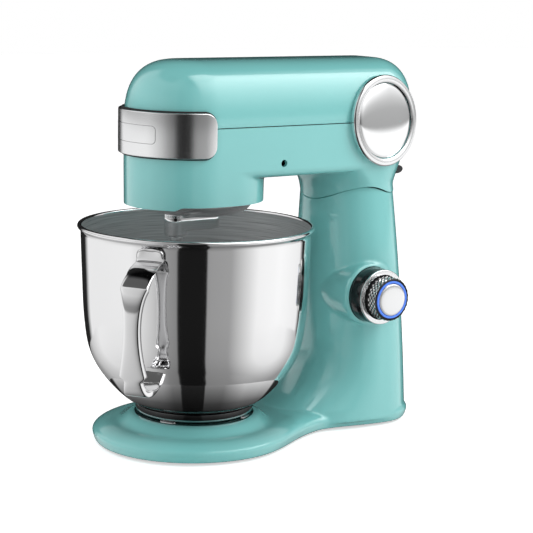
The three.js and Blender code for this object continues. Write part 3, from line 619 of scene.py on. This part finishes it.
def lower_shell():
    slab = loft("slab", [
        (inwards(head_plan(ARCH_Z), 7), ARCH_Z), (inwards(head_plan(ARCH_Z + 1), 3.5), ARCH_Z + 0.8),
        (inwards(head_plan(ARCH_Z + 3), 1.2), ARCH_Z + 3), (head_plan(ARCH_Z + 6), ARCH_Z + 6.5)] + [
        (head_plan(z), z) for z in (264, 270, 276, 282, 290, 299, 305)])
    boss = loft("boss", [(boss_plan(2.4), NOSE_BOTTOM - 4), (boss_plan(0.4), NOSE_BOTTOM - 2),
                         (boss_plan(0), 262)])
    neck = loft("neck", [(neck_plan(z), z) for z in (210, 220, 229.4, *range(234, 263, 4))])
    shell = blended(merged("head_body", slab, boss, neck, *badge_pads()), 1.4, 12)
    below_seam = prism("seam", [(100, 180)] + seam_line(0) + [(250, 180)], -90, 90)
    front_trim = block("trim", (-90, -90, 180), (90, 90, NOSE_BOTTOM))
    step = prism("step", [(-52, 180), (-52, NOSE_BOTTOM - 0.1)] + list(bezier(
        (-52, NOSE_BOTTOM - 0.1), (-48, NOSE_BOTTOM), (-48, NOSE_BOTTOM + 3), (-43, NOSE_BOTTOM + 3), 12))
        + [(90, NOSE_BOTTOM + 3), (90, 180)], -90, 90)
    hollow = loft("hollow", [
        (head_plan(z, -3.5), h) for z, h in ((256, 256), (270, 270), (285, 285), (299, 320))])
    throat = loft("throat", [(neck_plan(SEAM_REAR, 5), z) for z in (242.4, 258)])
    chamber = rod("chamber", 52.2, 180, 245, None, 160)
    shaft_hole = rod("shaft_hole", 14, 240, 262)
    split = block("split", (-110, -90, HEAD_SPLIT - 0.35), (110, 260, 370))
    slot = block("slot", (-16, 200, 239.8), (16, 240, 252.4))
    port = rod("port", 3.3, 50, 80, along_x(57, 265))
    boolean(shell, below_seam, front_trim, step, split)
    boolean(shell, hollow, throat, chamber, shaft_hole, slot, port, hub_bore())
    boolean(shell, *badge_pockets())
    barrel = rod("barrel", BARREL, -13.5, 13.5, along_x(*HINGE))
    boolean(shell, barrel, operation="UNION")
    slots = [rod("slots", BARREL + 0.6, x - 5.3, x + 5.3, along_x(*HINGE)) for x in (-LUG_X, LUG_X)]
    boolean(shell, *slots, rod("pin", 3.25, -46, 46, along_x(*HINGE)))
    bevelled(shell, 0.45, 2, 55)
    finish_piece(shell, "head", "enamel", ENAMEL, "head_lower_housing", angle=40)


def rounded_rectangle(half_run, half_height, radius, corner_points, side_steps):
    """A rounded rectangle in (distance along, height), with its long sides divided."""
    points = []
    for x, y, start in ((1, -1, -math.pi / 2), (1, 1, 0), (-1, 1, math.pi / 2), (-1, -1, math.pi)):
        centre = (x * (half_run - radius), y * (half_height - radius))
        points += round_arc(radius, start, start + math.pi / 2, corner_points, centre)
        if x * y > 0:
            points += [(centre[0] * (1 - 2 * k / side_steps), y * half_height) for k in range(1, side_steps)]
    return points


def bend(depth, turn, height):
    """A point round the nose, at a distance from its wall."""
    radius = HEAD_HALF + depth
    return (-radius * math.cos(turn), NOSE_Y - radius * math.sin(turn), height)


def nose_panel(name, inner, outer, end_y, low_z, high_z, corner, edge):
    """A bent panel round the nose, with rounded corners and a rounded outer edge."""
    start = math.asin((NOSE_Y - end_y) / (HEAD_HALF + outer))
    span = math.pi - 2 * start
    run = span * (HEAD_HALF + outer)
    middle, half_height = (low_z + high_z) / 2, (high_z - low_z) / 2
    layers = [(inner, 0.0), (outer - edge, 0.0)] + [
        (outer - edge + edge * math.sin(a), edge * (1 - math.cos(a)))
        for a in np.linspace(0.3, math.pi / 2, 5)]
    verts = []
    for depth, shrink in layers:
        ring = rounded_rectangle(
            run / 2 - shrink, half_height - shrink, max(0.5, corner - shrink), CORNER_POINTS, 120)
        verts += [bend(depth, start + span * (s / run + 0.5), middle + h) for s, h in ring]
    count = len(verts) // len(layers)
    faces = quads(count, len(layers)) + cap_strips(0, count) + cap_strips(len(verts) - count, count)
    return new_object(name, verts, faces)


def cap_strips(first, count):
    """Quads across a rounded-rectangle ring, from the middle of its right end to the left one."""
    faces = []
    a, b = CORNER_POINTS - 1, CORNER_POINTS
    for _ in range(count // 2 - 1):
        next_a, next_b = (a - 1) % count, (b + 1) % count
        faces.append((first + a, first + b, first + next_b, first + next_a))
        a, b = next_a, next_b
    return faces


def nose_band():
    band = nose_panel("nose_band", 2.5, BAND_OUTER, -19.2, 273.1, 313.2, 11, 1.0)
    finish_piece(band, "front_cover", "chrome", SATIN_BAND, "hub_cover_band", angle=40)
    seal = nose_panel("band_seal", 0.35, 2.15, -17.8, 271.6, 314.6, 12, 0.5)
    finish_piece(seal, "head", "rubber", RUBBER, "band_gasket", angle=40)
    # The plaque's raised bead takes the darkened chrome: painted shade along its outline.
    finish_piece(plaque_bead(), "front_cover", "chrome", PAINTED_SHADE_CHROME)


def plaque_bead():
    """A raised rounded-rectangle outline in the middle of the band."""
    bead, sunk, sides, middle = 0.45, 0.33, 8, 293.15
    points = np.array(rounded_rectangle(34.0, 8.0, 4.0, 9, 40))
    run = np.roll(points, -1, 0) - np.roll(points, 1, 0)
    run /= np.linalg.norm(run, axis=1)[:, None]
    verts = []
    for (s, h), (along, up) in zip(points, run):
        for a in np.linspace(0, 2 * math.pi, sides, endpoint=False):
            out = bead * math.cos(a)
            turn = math.pi / 2 + (s + out * up) / (HEAD_HALF + BAND_OUTER)
            verts.append(bend(BAND_OUTER - sunk + bead * math.sin(a), turn, middle + h - out * along))
    return new_object("band_plaque", verts, quads(sides, len(points), wrap=True))


def badges():
    for side, word in ((1, "right"), (-1, "left")):
        place = badge_matrix(side)
        ring = lathe(f"badge_rim_{word}", rounded([
            (36.1, 1.3), (BADGE_RADIUS, 1.3), (BADGE_RADIUS, 4.7), (42.2, 6.1), (39.4, 6.5), (37.6, 6.2),
            (36.1, 5.4)], 0.5), place, 200)
        finish_piece(ring, "head", "chrome", SATIN, f"badge_ring_{word}")
        swell = arc((0, 4.1), (34.4, 2.8), 0.08, math.pi / 2, 24)[:-1] + [(0, 6.9)]
        face = [(0, 1.3), (35.2, 1.3), (35.2, 3.6), (34.9, 4.1)] + swell
        dome = lathe(f"badge_face_{word}", face, place, 200)
        finish_piece(dome, "head", "chrome", CHROME, f"badge_dome_{word}", angle=20)


def release_lever():
    outline = [(200, 243), (222, 242)] + list(bezier((222, 242), (229, 241), (234, 243), (234, 246), 10))
    outline += list(bezier((234, 246), (234, 249), (230, 250.8), (224, 250.4), 10)) + [(200, 249.3)]
    lever = prism("lever_tab", outline, -15.2, 15.2)
    bevelled(lever, 1.2, 4, 40)
    boolean(lever, rod("hole", 2.3, -20, 20, along_x(206, 246)))
    ribs = [prism("rib", [(y, 249.6), (y + 1.2, 249.6), (y + 1.2, 251.0), (y, 251.0)], -11, 11)
            for y in (218, 221, 224, 227)]
    boolean(lever, *[bevelled(rib, 0.3, 2) for rib in ribs], operation="UNION")
    finish_piece(lever, "lever", "black_plastic", BLACK, "release_lever")


# -------- planetary drive
def drip_dish():
    dish = lathe("drip_dish", rounded([
        (0, 214.9), (20, 215.2), (32, 216.2), (42, 218.7), (48, 222.4), (51.1, 227), (51.1, 230),
        (49.4, 230), (49.2, 227.4), (46.6, 223.6), (41, 220.3), (31, 217.8), (19, 216.8),
        (0, 216.5)], 1.6, 3))
    slot = round_arc(11.3, 0, math.pi, 25) + round_arc(11.3, math.pi, 2 * math.pi, 25, (0, -ORBIT))
    boolean(dish, loft("arm_slot", [(slot, 200), (slot, 240)]))
    finish_piece(dish, "planetary", "chrome", DISH, "drip_ring", angle=30)


def carrier():
    outline = round_arc(11, math.pi, 2 * math.pi, 33, (0, -ORBIT))
    outline += [(11, 14)] + list(bezier((11, 14), (11, 20), (6, 21.9), (0, 21.9), 10))
    outline += list(bezier((0, 21.9), (-6, 21.9), (-11, 20), (-11, 14), 10))
    arm = bevelled(loft("carrier_arm", [(outline, 201.5), (outline, 214.4)]), 1.2, 4, 40)
    post = lathe("post", rounded([(0, 197), (10.9, 197), (10.9, 230.4), (0, 230.4)], 1.2), BEATER_PLACE)
    boolean(arm, post, rod("hub", 9.6, 203, 231), operation="UNION")
    boolean(arm, rod("centre", 6.15, 205, 240), rod("bore", 5.3, 190, 240, BEATER_PLACE))
    finish_piece(arm, "planetary", "chrome", CHROME, "planet_carrier", angle=30)


def spindle():
    shaft = lathe("drive_spindle", rounded([
        (0, 160), (4.4, 160), (5, 161), (5, 241), (0, 241)], 0.4), BEATER_PLACE, 64)
    finish_piece(shaft, "beater", "steel", STEEL, "beater_shaft")
    sleeve = lathe("spindle_sleeve", rounded([
        (5.15, 181), (6.4, 181), (6.6, 183), (6.6, 190), (6.0, 191), (6.0, 192), (6.6, 193), (6.6, 195.6),
        (5.15, 195.6)], 0.3), BEATER_PLACE, 64)
    finish_piece(sleeve, "beater", "steel", CHROME, "beater_coupling")


def beater_windows(turn):
    """The four openings of the paddle, two on each side of its stem."""
    windows = []
    for side in (-1, 1):
        curve_top = bezier((side * 6, 138), (side * 24, 134), (side * 38, 126), (side * 40, 106), 16)
        curve_low = bezier((side * 39, 94), (side * 37, 78), (side * 31, 68), (side * 20, 60), 16)
        upper = [(side * 6, 138), *curve_top, (side * 6, 98)]
        lower = [(side * 6, 86), (side * 39, 94), *curve_low, (side * 6, 60)]
        windows += [prism("window", shape, -12, 12, turn) for shape in (upper, lower)]
    return windows


def flat_beater():
    left = [(-9, 152), *bezier((-9, 152), (-30, 146), (-56, 134), (-56, 108), 24)]
    left += bezier((-56, 108), (-56, 78), (-42, 62), (-26, 50), 24)
    right = bezier((26, 50), (42, 62), (56, 78), (56, 108), 24)
    outer = left + [(26, 50), *right, *bezier((56, 108), (56, 134), (30, 146), (9, 152), 24)]
    turn = Matrix(((0, 1, 0, 0), (1, 0, 0, -ORBIT), (0, 0, 1, 0), (0, 0, 0, 1)))
    plate = boolean(prism("beater_paddle", outer, -4.4, 4.4, turn), *beater_windows(turn))
    bevelled(plate, 2.2, 4, 40)
    socket = lathe("socket", rounded([(0, 146), (9.4, 146), (9.4, 178), (0, 178)], 1.2), BEATER_PLACE)
    boolean(plate, socket, operation="UNION")
    boolean(plate, rod("bore", 5.3, 158, 190, BEATER_PLACE))
    finish_piece(plate, "beater", "cast_aluminium", ALUMINIUM, "flat_beater", angle=30)


# -------- bowl
WALL_POINTS = [(40, 33.9), (49.6, 36.2), (62, 41.8), (76, 54), (91.5, 74), (99, 91), (103.2, 117),
               (105.6, 165), (106.8, 200)]


def smooth_wall(steps=14):
    """A smooth curve through the wall's points (centripetal Catmull-Rom)."""
    points = [np.array(p, float) for p in WALL_POINTS]
    points = [2 * points[0] - points[1]] + points + [2 * points[-1] - points[-2]]
    result = []
    for i in range(1, len(points) - 2):
        p0, p1, p2, p3 = points[i - 1:i + 3]
        t0, t1 = 0.0, np.linalg.norm(p1 - p0) ** 0.5
        t2 = t1 + np.linalg.norm(p2 - p1) ** 0.5
        t3 = t2 + np.linalg.norm(p3 - p2) ** 0.5
        for t in np.linspace(t1, t2, steps, endpoint=False):
            a1 = (t1 - t) / (t1 - t0) * p0 + (t - t0) / (t1 - t0) * p1
            a2 = (t2 - t) / (t2 - t1) * p1 + (t - t1) / (t2 - t1) * p2
            a3 = (t3 - t) / (t3 - t2) * p2 + (t - t2) / (t3 - t2) * p3
            b1 = (t2 - t) / (t2 - t0) * a1 + (t - t0) / (t2 - t0) * a2
            b2 = (t3 - t) / (t3 - t1) * a2 + (t - t1) / (t3 - t1) * a3
            result.append(tuple((t2 - t) / (t2 - t1) * b1 + (t - t1) / (t2 - t1) * b2))
    return result + [WALL_POINTS[-1]]


def bowl():
    outside = [(0, 33.4), (20, 33.4)] + smooth_wall()
    bead = round_arc(2.2, math.radians(-75), math.radians(190), 22, (RIM_RADIUS - 2.2, RIM_Z))
    inside = [(max(0, r - 1.3), z + 0.8) for r, z in outside][::-1]
    inside[-1] = (0, 34.7)
    body = lathe("steel_bowl", outside + bead + inside, None, 224)
    finish_piece(body, "bowl", "polished_steel", POLISHED, "mixing_bowl", angle=50)
    body.data.materials.append(INSIDE)
    axis = Vector((0, AXIS_Y * MM, 0))
    for face in body.data.polygons:
        centre = face.center - axis
        outward = Vector((centre.x, centre.y, 0)).dot(face.normal)
        if centre.z < (RIM_Z - 1.5) * MM and (outward < -1e-6 or face.normal.z > 0.6):
            face.material_index = 1


def ring_piece(name, turn, inner, outer, low_z, high_z, count):
    """A piece of a flat ring round the bowl's axis; inner and outer are (radius, half angle)."""
    outline = round_arc(inner[0], turn - inner[1], turn + inner[1], count)
    outline += round_arc(outer[0], turn + outer[1], turn - outer[1], count)
    return loft(name, [(outline, low_z), (outline, high_z)])


def foot_ring():
    ring = lathe("bowl_foot", rounded([
        (51.6, 21.3), (54.2, 21.3), (54.6, 22), (54.6, 26), (53.4, 27.2), (53.4, 29), (54.9, 31),
        (55.8, 37.6), (51.8, 36)], 0.5, 3))
    tabs = [ring_piece("tab", math.radians(a), (51.8, 0.19), (44, 0.19), 21.35, 23.2, 12)
            for a in (45, 135, 225, 315)]
    boolean(ring, *tabs, operation="UNION")
    ears = [ring_piece("ear", math.radians(a), (53.2, 0.16), (55.2, 0.12), 26.6, 29.6, 10)
            for a in (-60, 30, 120, 210)]
    boolean(ring, *[bevelled(ear, 0.5, 3, 30) for ear in ears], operation="UNION")
    # The foot ring takes the darkened chrome: painted shade under the bowl.
    finish_piece(ring, "bowl", "chrome", PAINTED_SHADE_CHROME, "bowl_foot_ring")


def strap_centre():
    """The handle's middle line in the (radius, z) plane, with its half-width at each point."""
    line = [(108.4, 199.0, 12.6), (108.8, 193.0, 12.9), (109.6, 187.6, 13.0)]
    line += [(*p, w) for p, w in zip(bezier((109.6, 187.6), (118, 186), (132, 181), (143.5, 171), 12),
                                     np.linspace(12.4, 12.9, 12))]
    grip = list(bezier((143.5, 171), (151.2, 160), (151.2, 118), (146.4, 92), 30))
    widths = [12.9 - 5.4 * math.sin(math.pi * min(1, k / 29) * 0.98) for k in range(30)]
    line += [(*p, w) for p, w in zip(grip, widths)]
    line += [(*p, w) for p, w in zip(bezier((146.4, 92), (144.6, 80), (140, 73.2), (131, 73), 12),
                                     np.linspace(8.0, 12.6, 12))]
    line += [(*p, w) for p, w in zip(bezier((131, 73), (120, 73.2), (109, 78), (100.9, 88.2), 14),
                                     np.linspace(12.7, 12.9, 14))]
    return line


def strap_normals(points):
    """Unit vectors square to the line, pointing away from the middle of the grip's loop."""
    run = np.gradient(points, axis=0)
    run /= np.linalg.norm(run, axis=1)[:, None]
    normal = np.stack([-run[:, 1], run[:, 0]], 1)
    flip = np.sign(np.sum(normal * (points - np.array([126.0, 130.0])), axis=1))
    return normal * flip[:, None]


def strap_rings():
    """The strap's sections along its line; the flanges fold away near both ends."""
    line = strap_centre()
    normals = strap_normals(np.array([(r, z) for r, z, _ in line]))
    cos, sin = math.cos(HANDLE_ANGLE), math.sin(HANDLE_ANGLE)
    rings = []
    for i, ((r, z, half), n) in enumerate(zip(line, normals)):
        share = i / (len(line) - 1)
        fold = 6.2 * max(0.0, min(1.0, (share - 0.12) * 9)) * max(0.0, min(1.0, (0.93 - share) * 9))
        ring = [(r + n[0] * out, across, z + n[1] * out) for across, out in strap_section(half, 1.5, fold)]
        rings.append([(out * cos - across * sin, out * sin + across * cos, up) for out, across, up in ring])
    return rings


def bowl_handle():
    """A pressed strap: a flat web with flanges turned back towards the bowl along the grip."""
    rings = strap_rings()
    verts = [point for ring in rings for point in ring]
    handle = new_object("bowl_strap", verts, tube(len(rings[0]), len(rings)))
    soft = handle.modifiers.new("soft", "SUBSURF")
    soft.levels = 2
    soft.render_levels = 2
    evaluated(handle)
    clearance = [(0, 20)] + [(r + 0.35, z) for r, z in smooth_wall()] + [(107.6, 230), (0, 230)]
    boolean(handle, lathe("keep_off", clearance))
    finish_piece(handle, "bowl", "polished_steel", POLISHED, "bowl_handle", angle=45)


def strap_section(half, thick, fold):
    """The strap's section as (across, outwards) points: a shallow channel, open towards the bowl."""
    turn = min(1.6, half * 0.3)
    fold = max(fold, 0.02)
    lip = -turn * 0.55 if fold > 1 else -0.01
    outer = [(half, -fold), (half, lip), (half - turn * 0.3, -turn * 0.15), (half - turn, 0.25),
             (half * 0.5, 0.5)]
    inner = [(half - thick * 0.7, -fold - 0.01), (half - thick * 0.8, -thick), (half * 0.5, 0.5 - thick)]
    mirrored = [[(-x, z) for x, z in side] for side in (outer, inner)]
    return mirrored[0] + [(0, 0.6)] + outer[::-1] + inner + [(0, 0.6 - thick)] + mirrored[1][::-1]


# -------- pieces that keep their CAD shape
def dress_cad_nodes():
    looks = (
        (STEEL, "bowl_clamp_plate clamp_screw_1 clamp_screw_2 clamp_screw_3 hinge_pin latch_strike"),
        (STEEL, "attachment_hub motor_stator layshaft_bearing main_bearing ring_gear lever_pin rotor_core"),
        (STEEL, "rotor_shaft motor_pinion layshaft bevel_pinion main_shaft crown_gear planet_gear"),
        (BLACK, "base_cover carbon_brush_right carbon_brush_left"),
        (ALUMINIUM, "motor_front_bracket motor_rear_bracket"),
        (NYLON, "speed_encoder cooling_fan"),
        (RUBBER, "cord_gland"),
        (LAMINATE, "speed_control_board"),
        (COPPER, "commutator"),
        (BRASS, "reduction_gear"))
    for material, names in looks:
        for name in names.split():
            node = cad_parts[name]
            node.data.materials.clear()
            node.data.materials.append(material)


# -------- stage, lights, camera
FLOOR_GLOW = 0.56  # lifts the table top to white for the camera, short of hiding the contact shadow
PHOTOGRAPHER = -36.5  # degrees round the studio, in the sense of WALLS
# Brightness round the studio as (degrees, value); 0 is the dial side.
WALLS = [
    (-180, 0.02), (-178, 0.02), (-168, 1.0), (-100, 1.05), (-76, 0.7), (-62, 0.36), (-51.5, 0.3),
    (-50.5, 0.012), (-22.5, 0.012), (-21.5, 0.38), (2, 0.42), (32, 1.12), (60, 1.2), (93, 1.05),
    (99, 0.02), (180, 0.02)]
# The softbox beside the head, by its angle round the head's length and by its reach along it.
SOFTBOX_LIFT = [(-180, 0), (8, 0), (25, 0.16), (50, 0.66), (70, 1), (81, 1), (83, 0), (180, 0)]
SOFTBOX_LENGTH = [(-1, 0.0), (-0.75, 0.0), (-0.55, 0.1), (-0.35, 0.1), (-0.2, 0), (-0.13, 0), (0.0, 1),
                  (0.76, 1), (0.84, 0), (1, 0)]
# Brightness with height as (sine of elevation, value).
WALL_RISE = [(-1, 0.6), (-0.3, 0.95), (-0.045, 1.0), (-0.02, 0.36), (0.05, 0.4), (0.15, 0.7), (0.3, 0.95),
             (0.78, 0.85), (0.84, 0.12), (1, 0.1)]
SOFTBOX_LEVEL = 3.2
# The card under the bowl repeats WALLS at this many degrees for each degree round the bowl.
CARD_TURN = 1.5
CARD_SHIFT = 14.65
STEEP = -0.3  # below this sine of elevation every direction counts as in front
# How much steep directions are widened, so that the dark gaps narrow with the bowl.
SIDE_SPREAD = [(-1, 1.0), (-0.94, 0.5), (-0.77, 0.22), (-0.17, 0), (1, 0)]
# Brightness of the room for rough surfaces, by the sine of elevation.
ROOM_RISE = [(-1, 0.6), (0, 0.8), (0.35, 0.75), (0.7, 0.5), (1, 0.4)]


def math_node(tree, operation, *values):
    """A math node; each value is a number or a socket."""
    node = tree.nodes.new("ShaderNodeMath")
    node.operation = operation
    for i, value in enumerate(values):
        if isinstance(value, (int, float)):
            node.inputs[i].default_value = value
        else:
            tree.links.new(value, node.inputs[i])
    return node.outputs[0]


def floor():
    """A pale table top, bright to the camera so that only the contact shadow shows on it."""
    size = 6.0
    corners = [(-size, -size, 0), (size, -size, 0), (size, size, 0), (-size, size, 0)]
    mesh = bpy.data.meshes.new("floor")
    mesh.from_pydata(corners, [], [(0, 1, 2, 3)])
    obj = bpy.data.objects.new("floor", mesh)
    bpy.context.scene.collection.objects.link(obj)
    material, tree, shader = principled("pale_floor", (0.93, 0.93, 0.93), 0.6)
    tinted(tree, shader, noise(tree, 2, 2), (0.925, 0.925, 0.925), (0.935, 0.935, 0.935))
    shader.inputs["Specular IOR Level"].default_value = 0.1
    shader.inputs["Emission Color"].default_value = (1, 1, 1, 1)
    path = tree.nodes.new("ShaderNodeLightPath")
    tree.links.new(math_node(tree, "MULTIPLY", path.outputs["Is Camera Ray"], FLOOR_GLOW),
                   shader.inputs["Emission Strength"])
    obj.data.materials.append(material)
    obj.visible_glossy = False


def dark_card():
    """A shaded card round the bowl's foot that glows with the studio's walls, darker towards the foot:
    painted shade and painted reflection, seen only in reflections, chiefly the bowl's underside.
    """
    card = lathe("dark_card", [(57, 31.0), (104, 31.0), (104, 31.2), (57, 31.2)])
    material, tree, shader = principled("shaded_card", (0, 0, 0), 1.0)
    shader.inputs["Emission Color"].default_value = (1, 1, 1, 1)
    where = tree.nodes.new("ShaderNodeTexCoord")
    split = tree.nodes.new("ShaderNodeSeparateXYZ")
    tree.links.new(where.outputs["Object"], split.inputs["Vector"])
    x, y = split.outputs["X"], math_node(tree, "SUBTRACT", split.outputs["Y"], AXIS_Y * MM)
    turned = math_node(tree, "MULTIPLY", math_node(tree, "ARCTAN2", y, x), CARD_TURN * 180 / math.pi)
    degrees = math_node(tree, "ADD", turned, CARD_SHIFT)
    reach = math_node(tree, "SQRT", math_node(
        tree, "ADD", math_node(tree, "MULTIPLY", x, x), math_node(tree, "MULTIPLY", y, y)))
    # Painted shade: the card's glow falls off towards the bowl's foot.
    shade = curve(tree, reach, [(0.057, 0.03), (0.07, 0.1), (0.104, 0.62)])
    glow = math_node(tree, "MULTIPLY", shade, curve(tree, degrees, WALLS))
    tree.links.new(glow, shader.inputs["Emission Strength"])
    card.data.materials.append(material)
    card.visible_camera = card.visible_diffuse = card.visible_shadow = card.visible_transmission = False


def facing(azimuth, elevation):
    """From the mixer towards a viewpoint; azimuth 0 is in front and a quarter turn is on the dial side."""
    level = math.cos(elevation)
    return Vector((math.sin(azimuth) * level, -math.cos(azimuth) * level, math.sin(elevation)))


def area_light(name, azimuth, elevation, distance, width, height, power):
    """A softbox round the mixer; azimuth as in the views, 0 in front and 90 on the dial side."""
    light = bpy.data.lights.new(name, "AREA")
    light.shape = "RECTANGLE"
    light.size, light.size_y = width, height
    light.energy = power
    obj = bpy.data.objects.new(name, light)
    back = facing(math.radians(azimuth), math.radians(elevation))
    target = Vector((0, 0, 0.2))
    obj.location = target + back * distance
    obj.rotation_euler = back.to_track_quat("Z", "Y").to_euler()
    obj.visible_glossy = False
    bpy.context.scene.collection.objects.link(obj)


def curve(tree, value, stops):
    """Linear interpolation through the stops, level beyond the first and last, as a colour ramp."""
    low_value, high_value = stops[0][0], stops[-1][0]
    share = tree.nodes.new("ShaderNodeMapRange")
    share.inputs["From Min"].default_value = low_value
    share.inputs["From Max"].default_value = high_value
    tree.links.new(value, share.inputs["Value"])
    ramp = tree.nodes.new("ShaderNodeValToRGB")
    elements = ramp.color_ramp.elements
    while len(elements) > 1:
        elements.remove(elements[-1])
    for i, (where, amount) in enumerate(stops):
        position = (where - low_value) / (high_value - low_value)
        element = elements[0] if i == 0 else elements.new(position)
        element.position = position
        element.color = (amount, amount, amount, 1)
    tree.links.new(share.outputs["Result"], ramp.inputs["Fac"])
    return ramp.outputs["Color"]


def round_angle(tree, split):
    """Degrees round the studio, with steep directions drawn back to the photographer's line."""
    def op(operation, *values):
        return math_node(tree, operation, *values)

    x, y, height = (split.outputs[axis] for axis in "XYZ")
    cos, sin = math.cos(math.radians(PHOTOGRAPHER)), math.sin(math.radians(PHOTOGRAPHER))
    side = op("SUBTRACT", op("MULTIPLY", y, cos), op("MULTIPLY", x, sin))
    ahead = op("ADD", op("MULTIPLY", x, cos), op("MULTIPLY", y, sin))
    side = op("MULTIPLY", side, op("ADD", 1.0, curve(tree, height, SIDE_SPREAD)))
    level = op("SQRT", op("MAXIMUM", op("SUBTRACT", 1.0, op("MULTIPLY", side, side)), 0.0))
    steep = op("GREATER_THAN", op("MAXIMUM", ahead, op("SUBTRACT", STEEP, height)), 0.0)
    front = op("MULTIPLY", op("LESS_THAN", height, 0.0), steep)
    depth = op("ADD", op("MULTIPLY", front, level), op("MULTIPLY", op("SUBTRACT", 1.0, front), ahead))
    turned = op("MULTIPLY", op("ARCTAN2", side, depth), 180 / math.pi)
    return op("WRAP", op("ADD", turned, PHOTOGRAPHER), 180.0, -180.0)


def reflected(tree, split):
    """What polished surfaces see: the studio's walls and the softbox beside the head."""
    height = split.outputs["Z"]
    lift = math_node(tree, "MULTIPLY", math_node(tree, "ARCTAN2", height, split.outputs["X"]), 180 / math.pi)
    walls = math_node(tree, "MULTIPLY", curve(tree, round_angle(tree, split), WALLS),
                      curve(tree, height, WALL_RISE))
    box = math_node(tree, "MULTIPLY", curve(tree, lift, SOFTBOX_LIFT),
                    curve(tree, split.outputs["Y"], SOFTBOX_LENGTH))
    return math_node(tree, "ADD", walls, math_node(tree, "MULTIPLY", box, SOFTBOX_LEVEL))


def studio_world():
    """Soft room light for rough surfaces, a studio with dark gaps for reflections, white for the camera."""
    world = bpy.data.worlds.new("studio")
    bpy.context.scene.world = world
    world.use_nodes = True
    tree = world.node_tree
    nodes, links = tree.nodes, tree.links
    nodes.clear()
    where = nodes.new("ShaderNodeTexCoord")
    split = nodes.new("ShaderNodeSeparateXYZ")
    links.new(where.outputs["Generated"], split.inputs["Vector"])
    path = nodes.new("ShaderNodeLightPath")
    glossy, seen = path.outputs["Is Glossy Ray"], path.outputs["Is Camera Ray"]
    rest = math_node(tree, "SUBTRACT", math_node(tree, "SUBTRACT", 1.0, glossy), seen)
    mirror = math_node(tree, "MULTIPLY", reflected(tree, split), glossy)
    room = math_node(tree, "MULTIPLY", curve(tree, split.outputs["Z"], ROOM_RISE), rest)
    background = nodes.new("ShaderNodeBackground")
    background.inputs["Color"].default_value = (1, 1, 1, 1)
    total = math_node(tree, "ADD", math_node(tree, "ADD", mirror, room), seen)
    links.new(total, background.inputs["Strength"])
    output = nodes.new("ShaderNodeOutputWorld")
    links.new(background.outputs["Background"], output.inputs["Surface"])


def camera():
    azimuth, pitch, roll = math.radians(54.497), math.radians(10.313), math.radians(1.246)
    right = Vector((math.cos(azimuth), math.sin(azimuth), 0))
    back = facing(azimuth, pitch)
    up = back.cross(right)
    right, up = (right * math.cos(roll) + up * math.sin(roll), up * math.cos(roll) - right * math.sin(roll))
    data = bpy.data.cameras.new("camera")
    data.lens = 110.73
    data.sensor_width = 36
    obj = bpy.data.objects.new("camera", data)
    place = Matrix((right, up, back)).transposed().to_4x4()
    place.translation = Vector((1258.01, -816.96 + AXIS_Y, 439.49)) * MM
    obj.matrix_world = place
    bpy.context.scene.collection.objects.link(obj)
    bpy.context.scene.camera = obj


camera()
floor()
dark_card()
studio_world()
area_light("right_softbox", 130, 35, 1.6, 1.0, 0.9, 12)
area_light("left_softbox", -40, 30, 1.6, 1.0, 1.0, 8)
bpy.context.scene.view_settings.view_transform = "Standard"

stand_shell()
rubber_feet()
dial()
upper_shell()
lower_shell()
nose_band()
badges()
release_lever()
drip_dish()
carrier()
spindle()
flat_beater()
bowl()
foot_ring()
bowl_handle()
dress_cad_nodes()
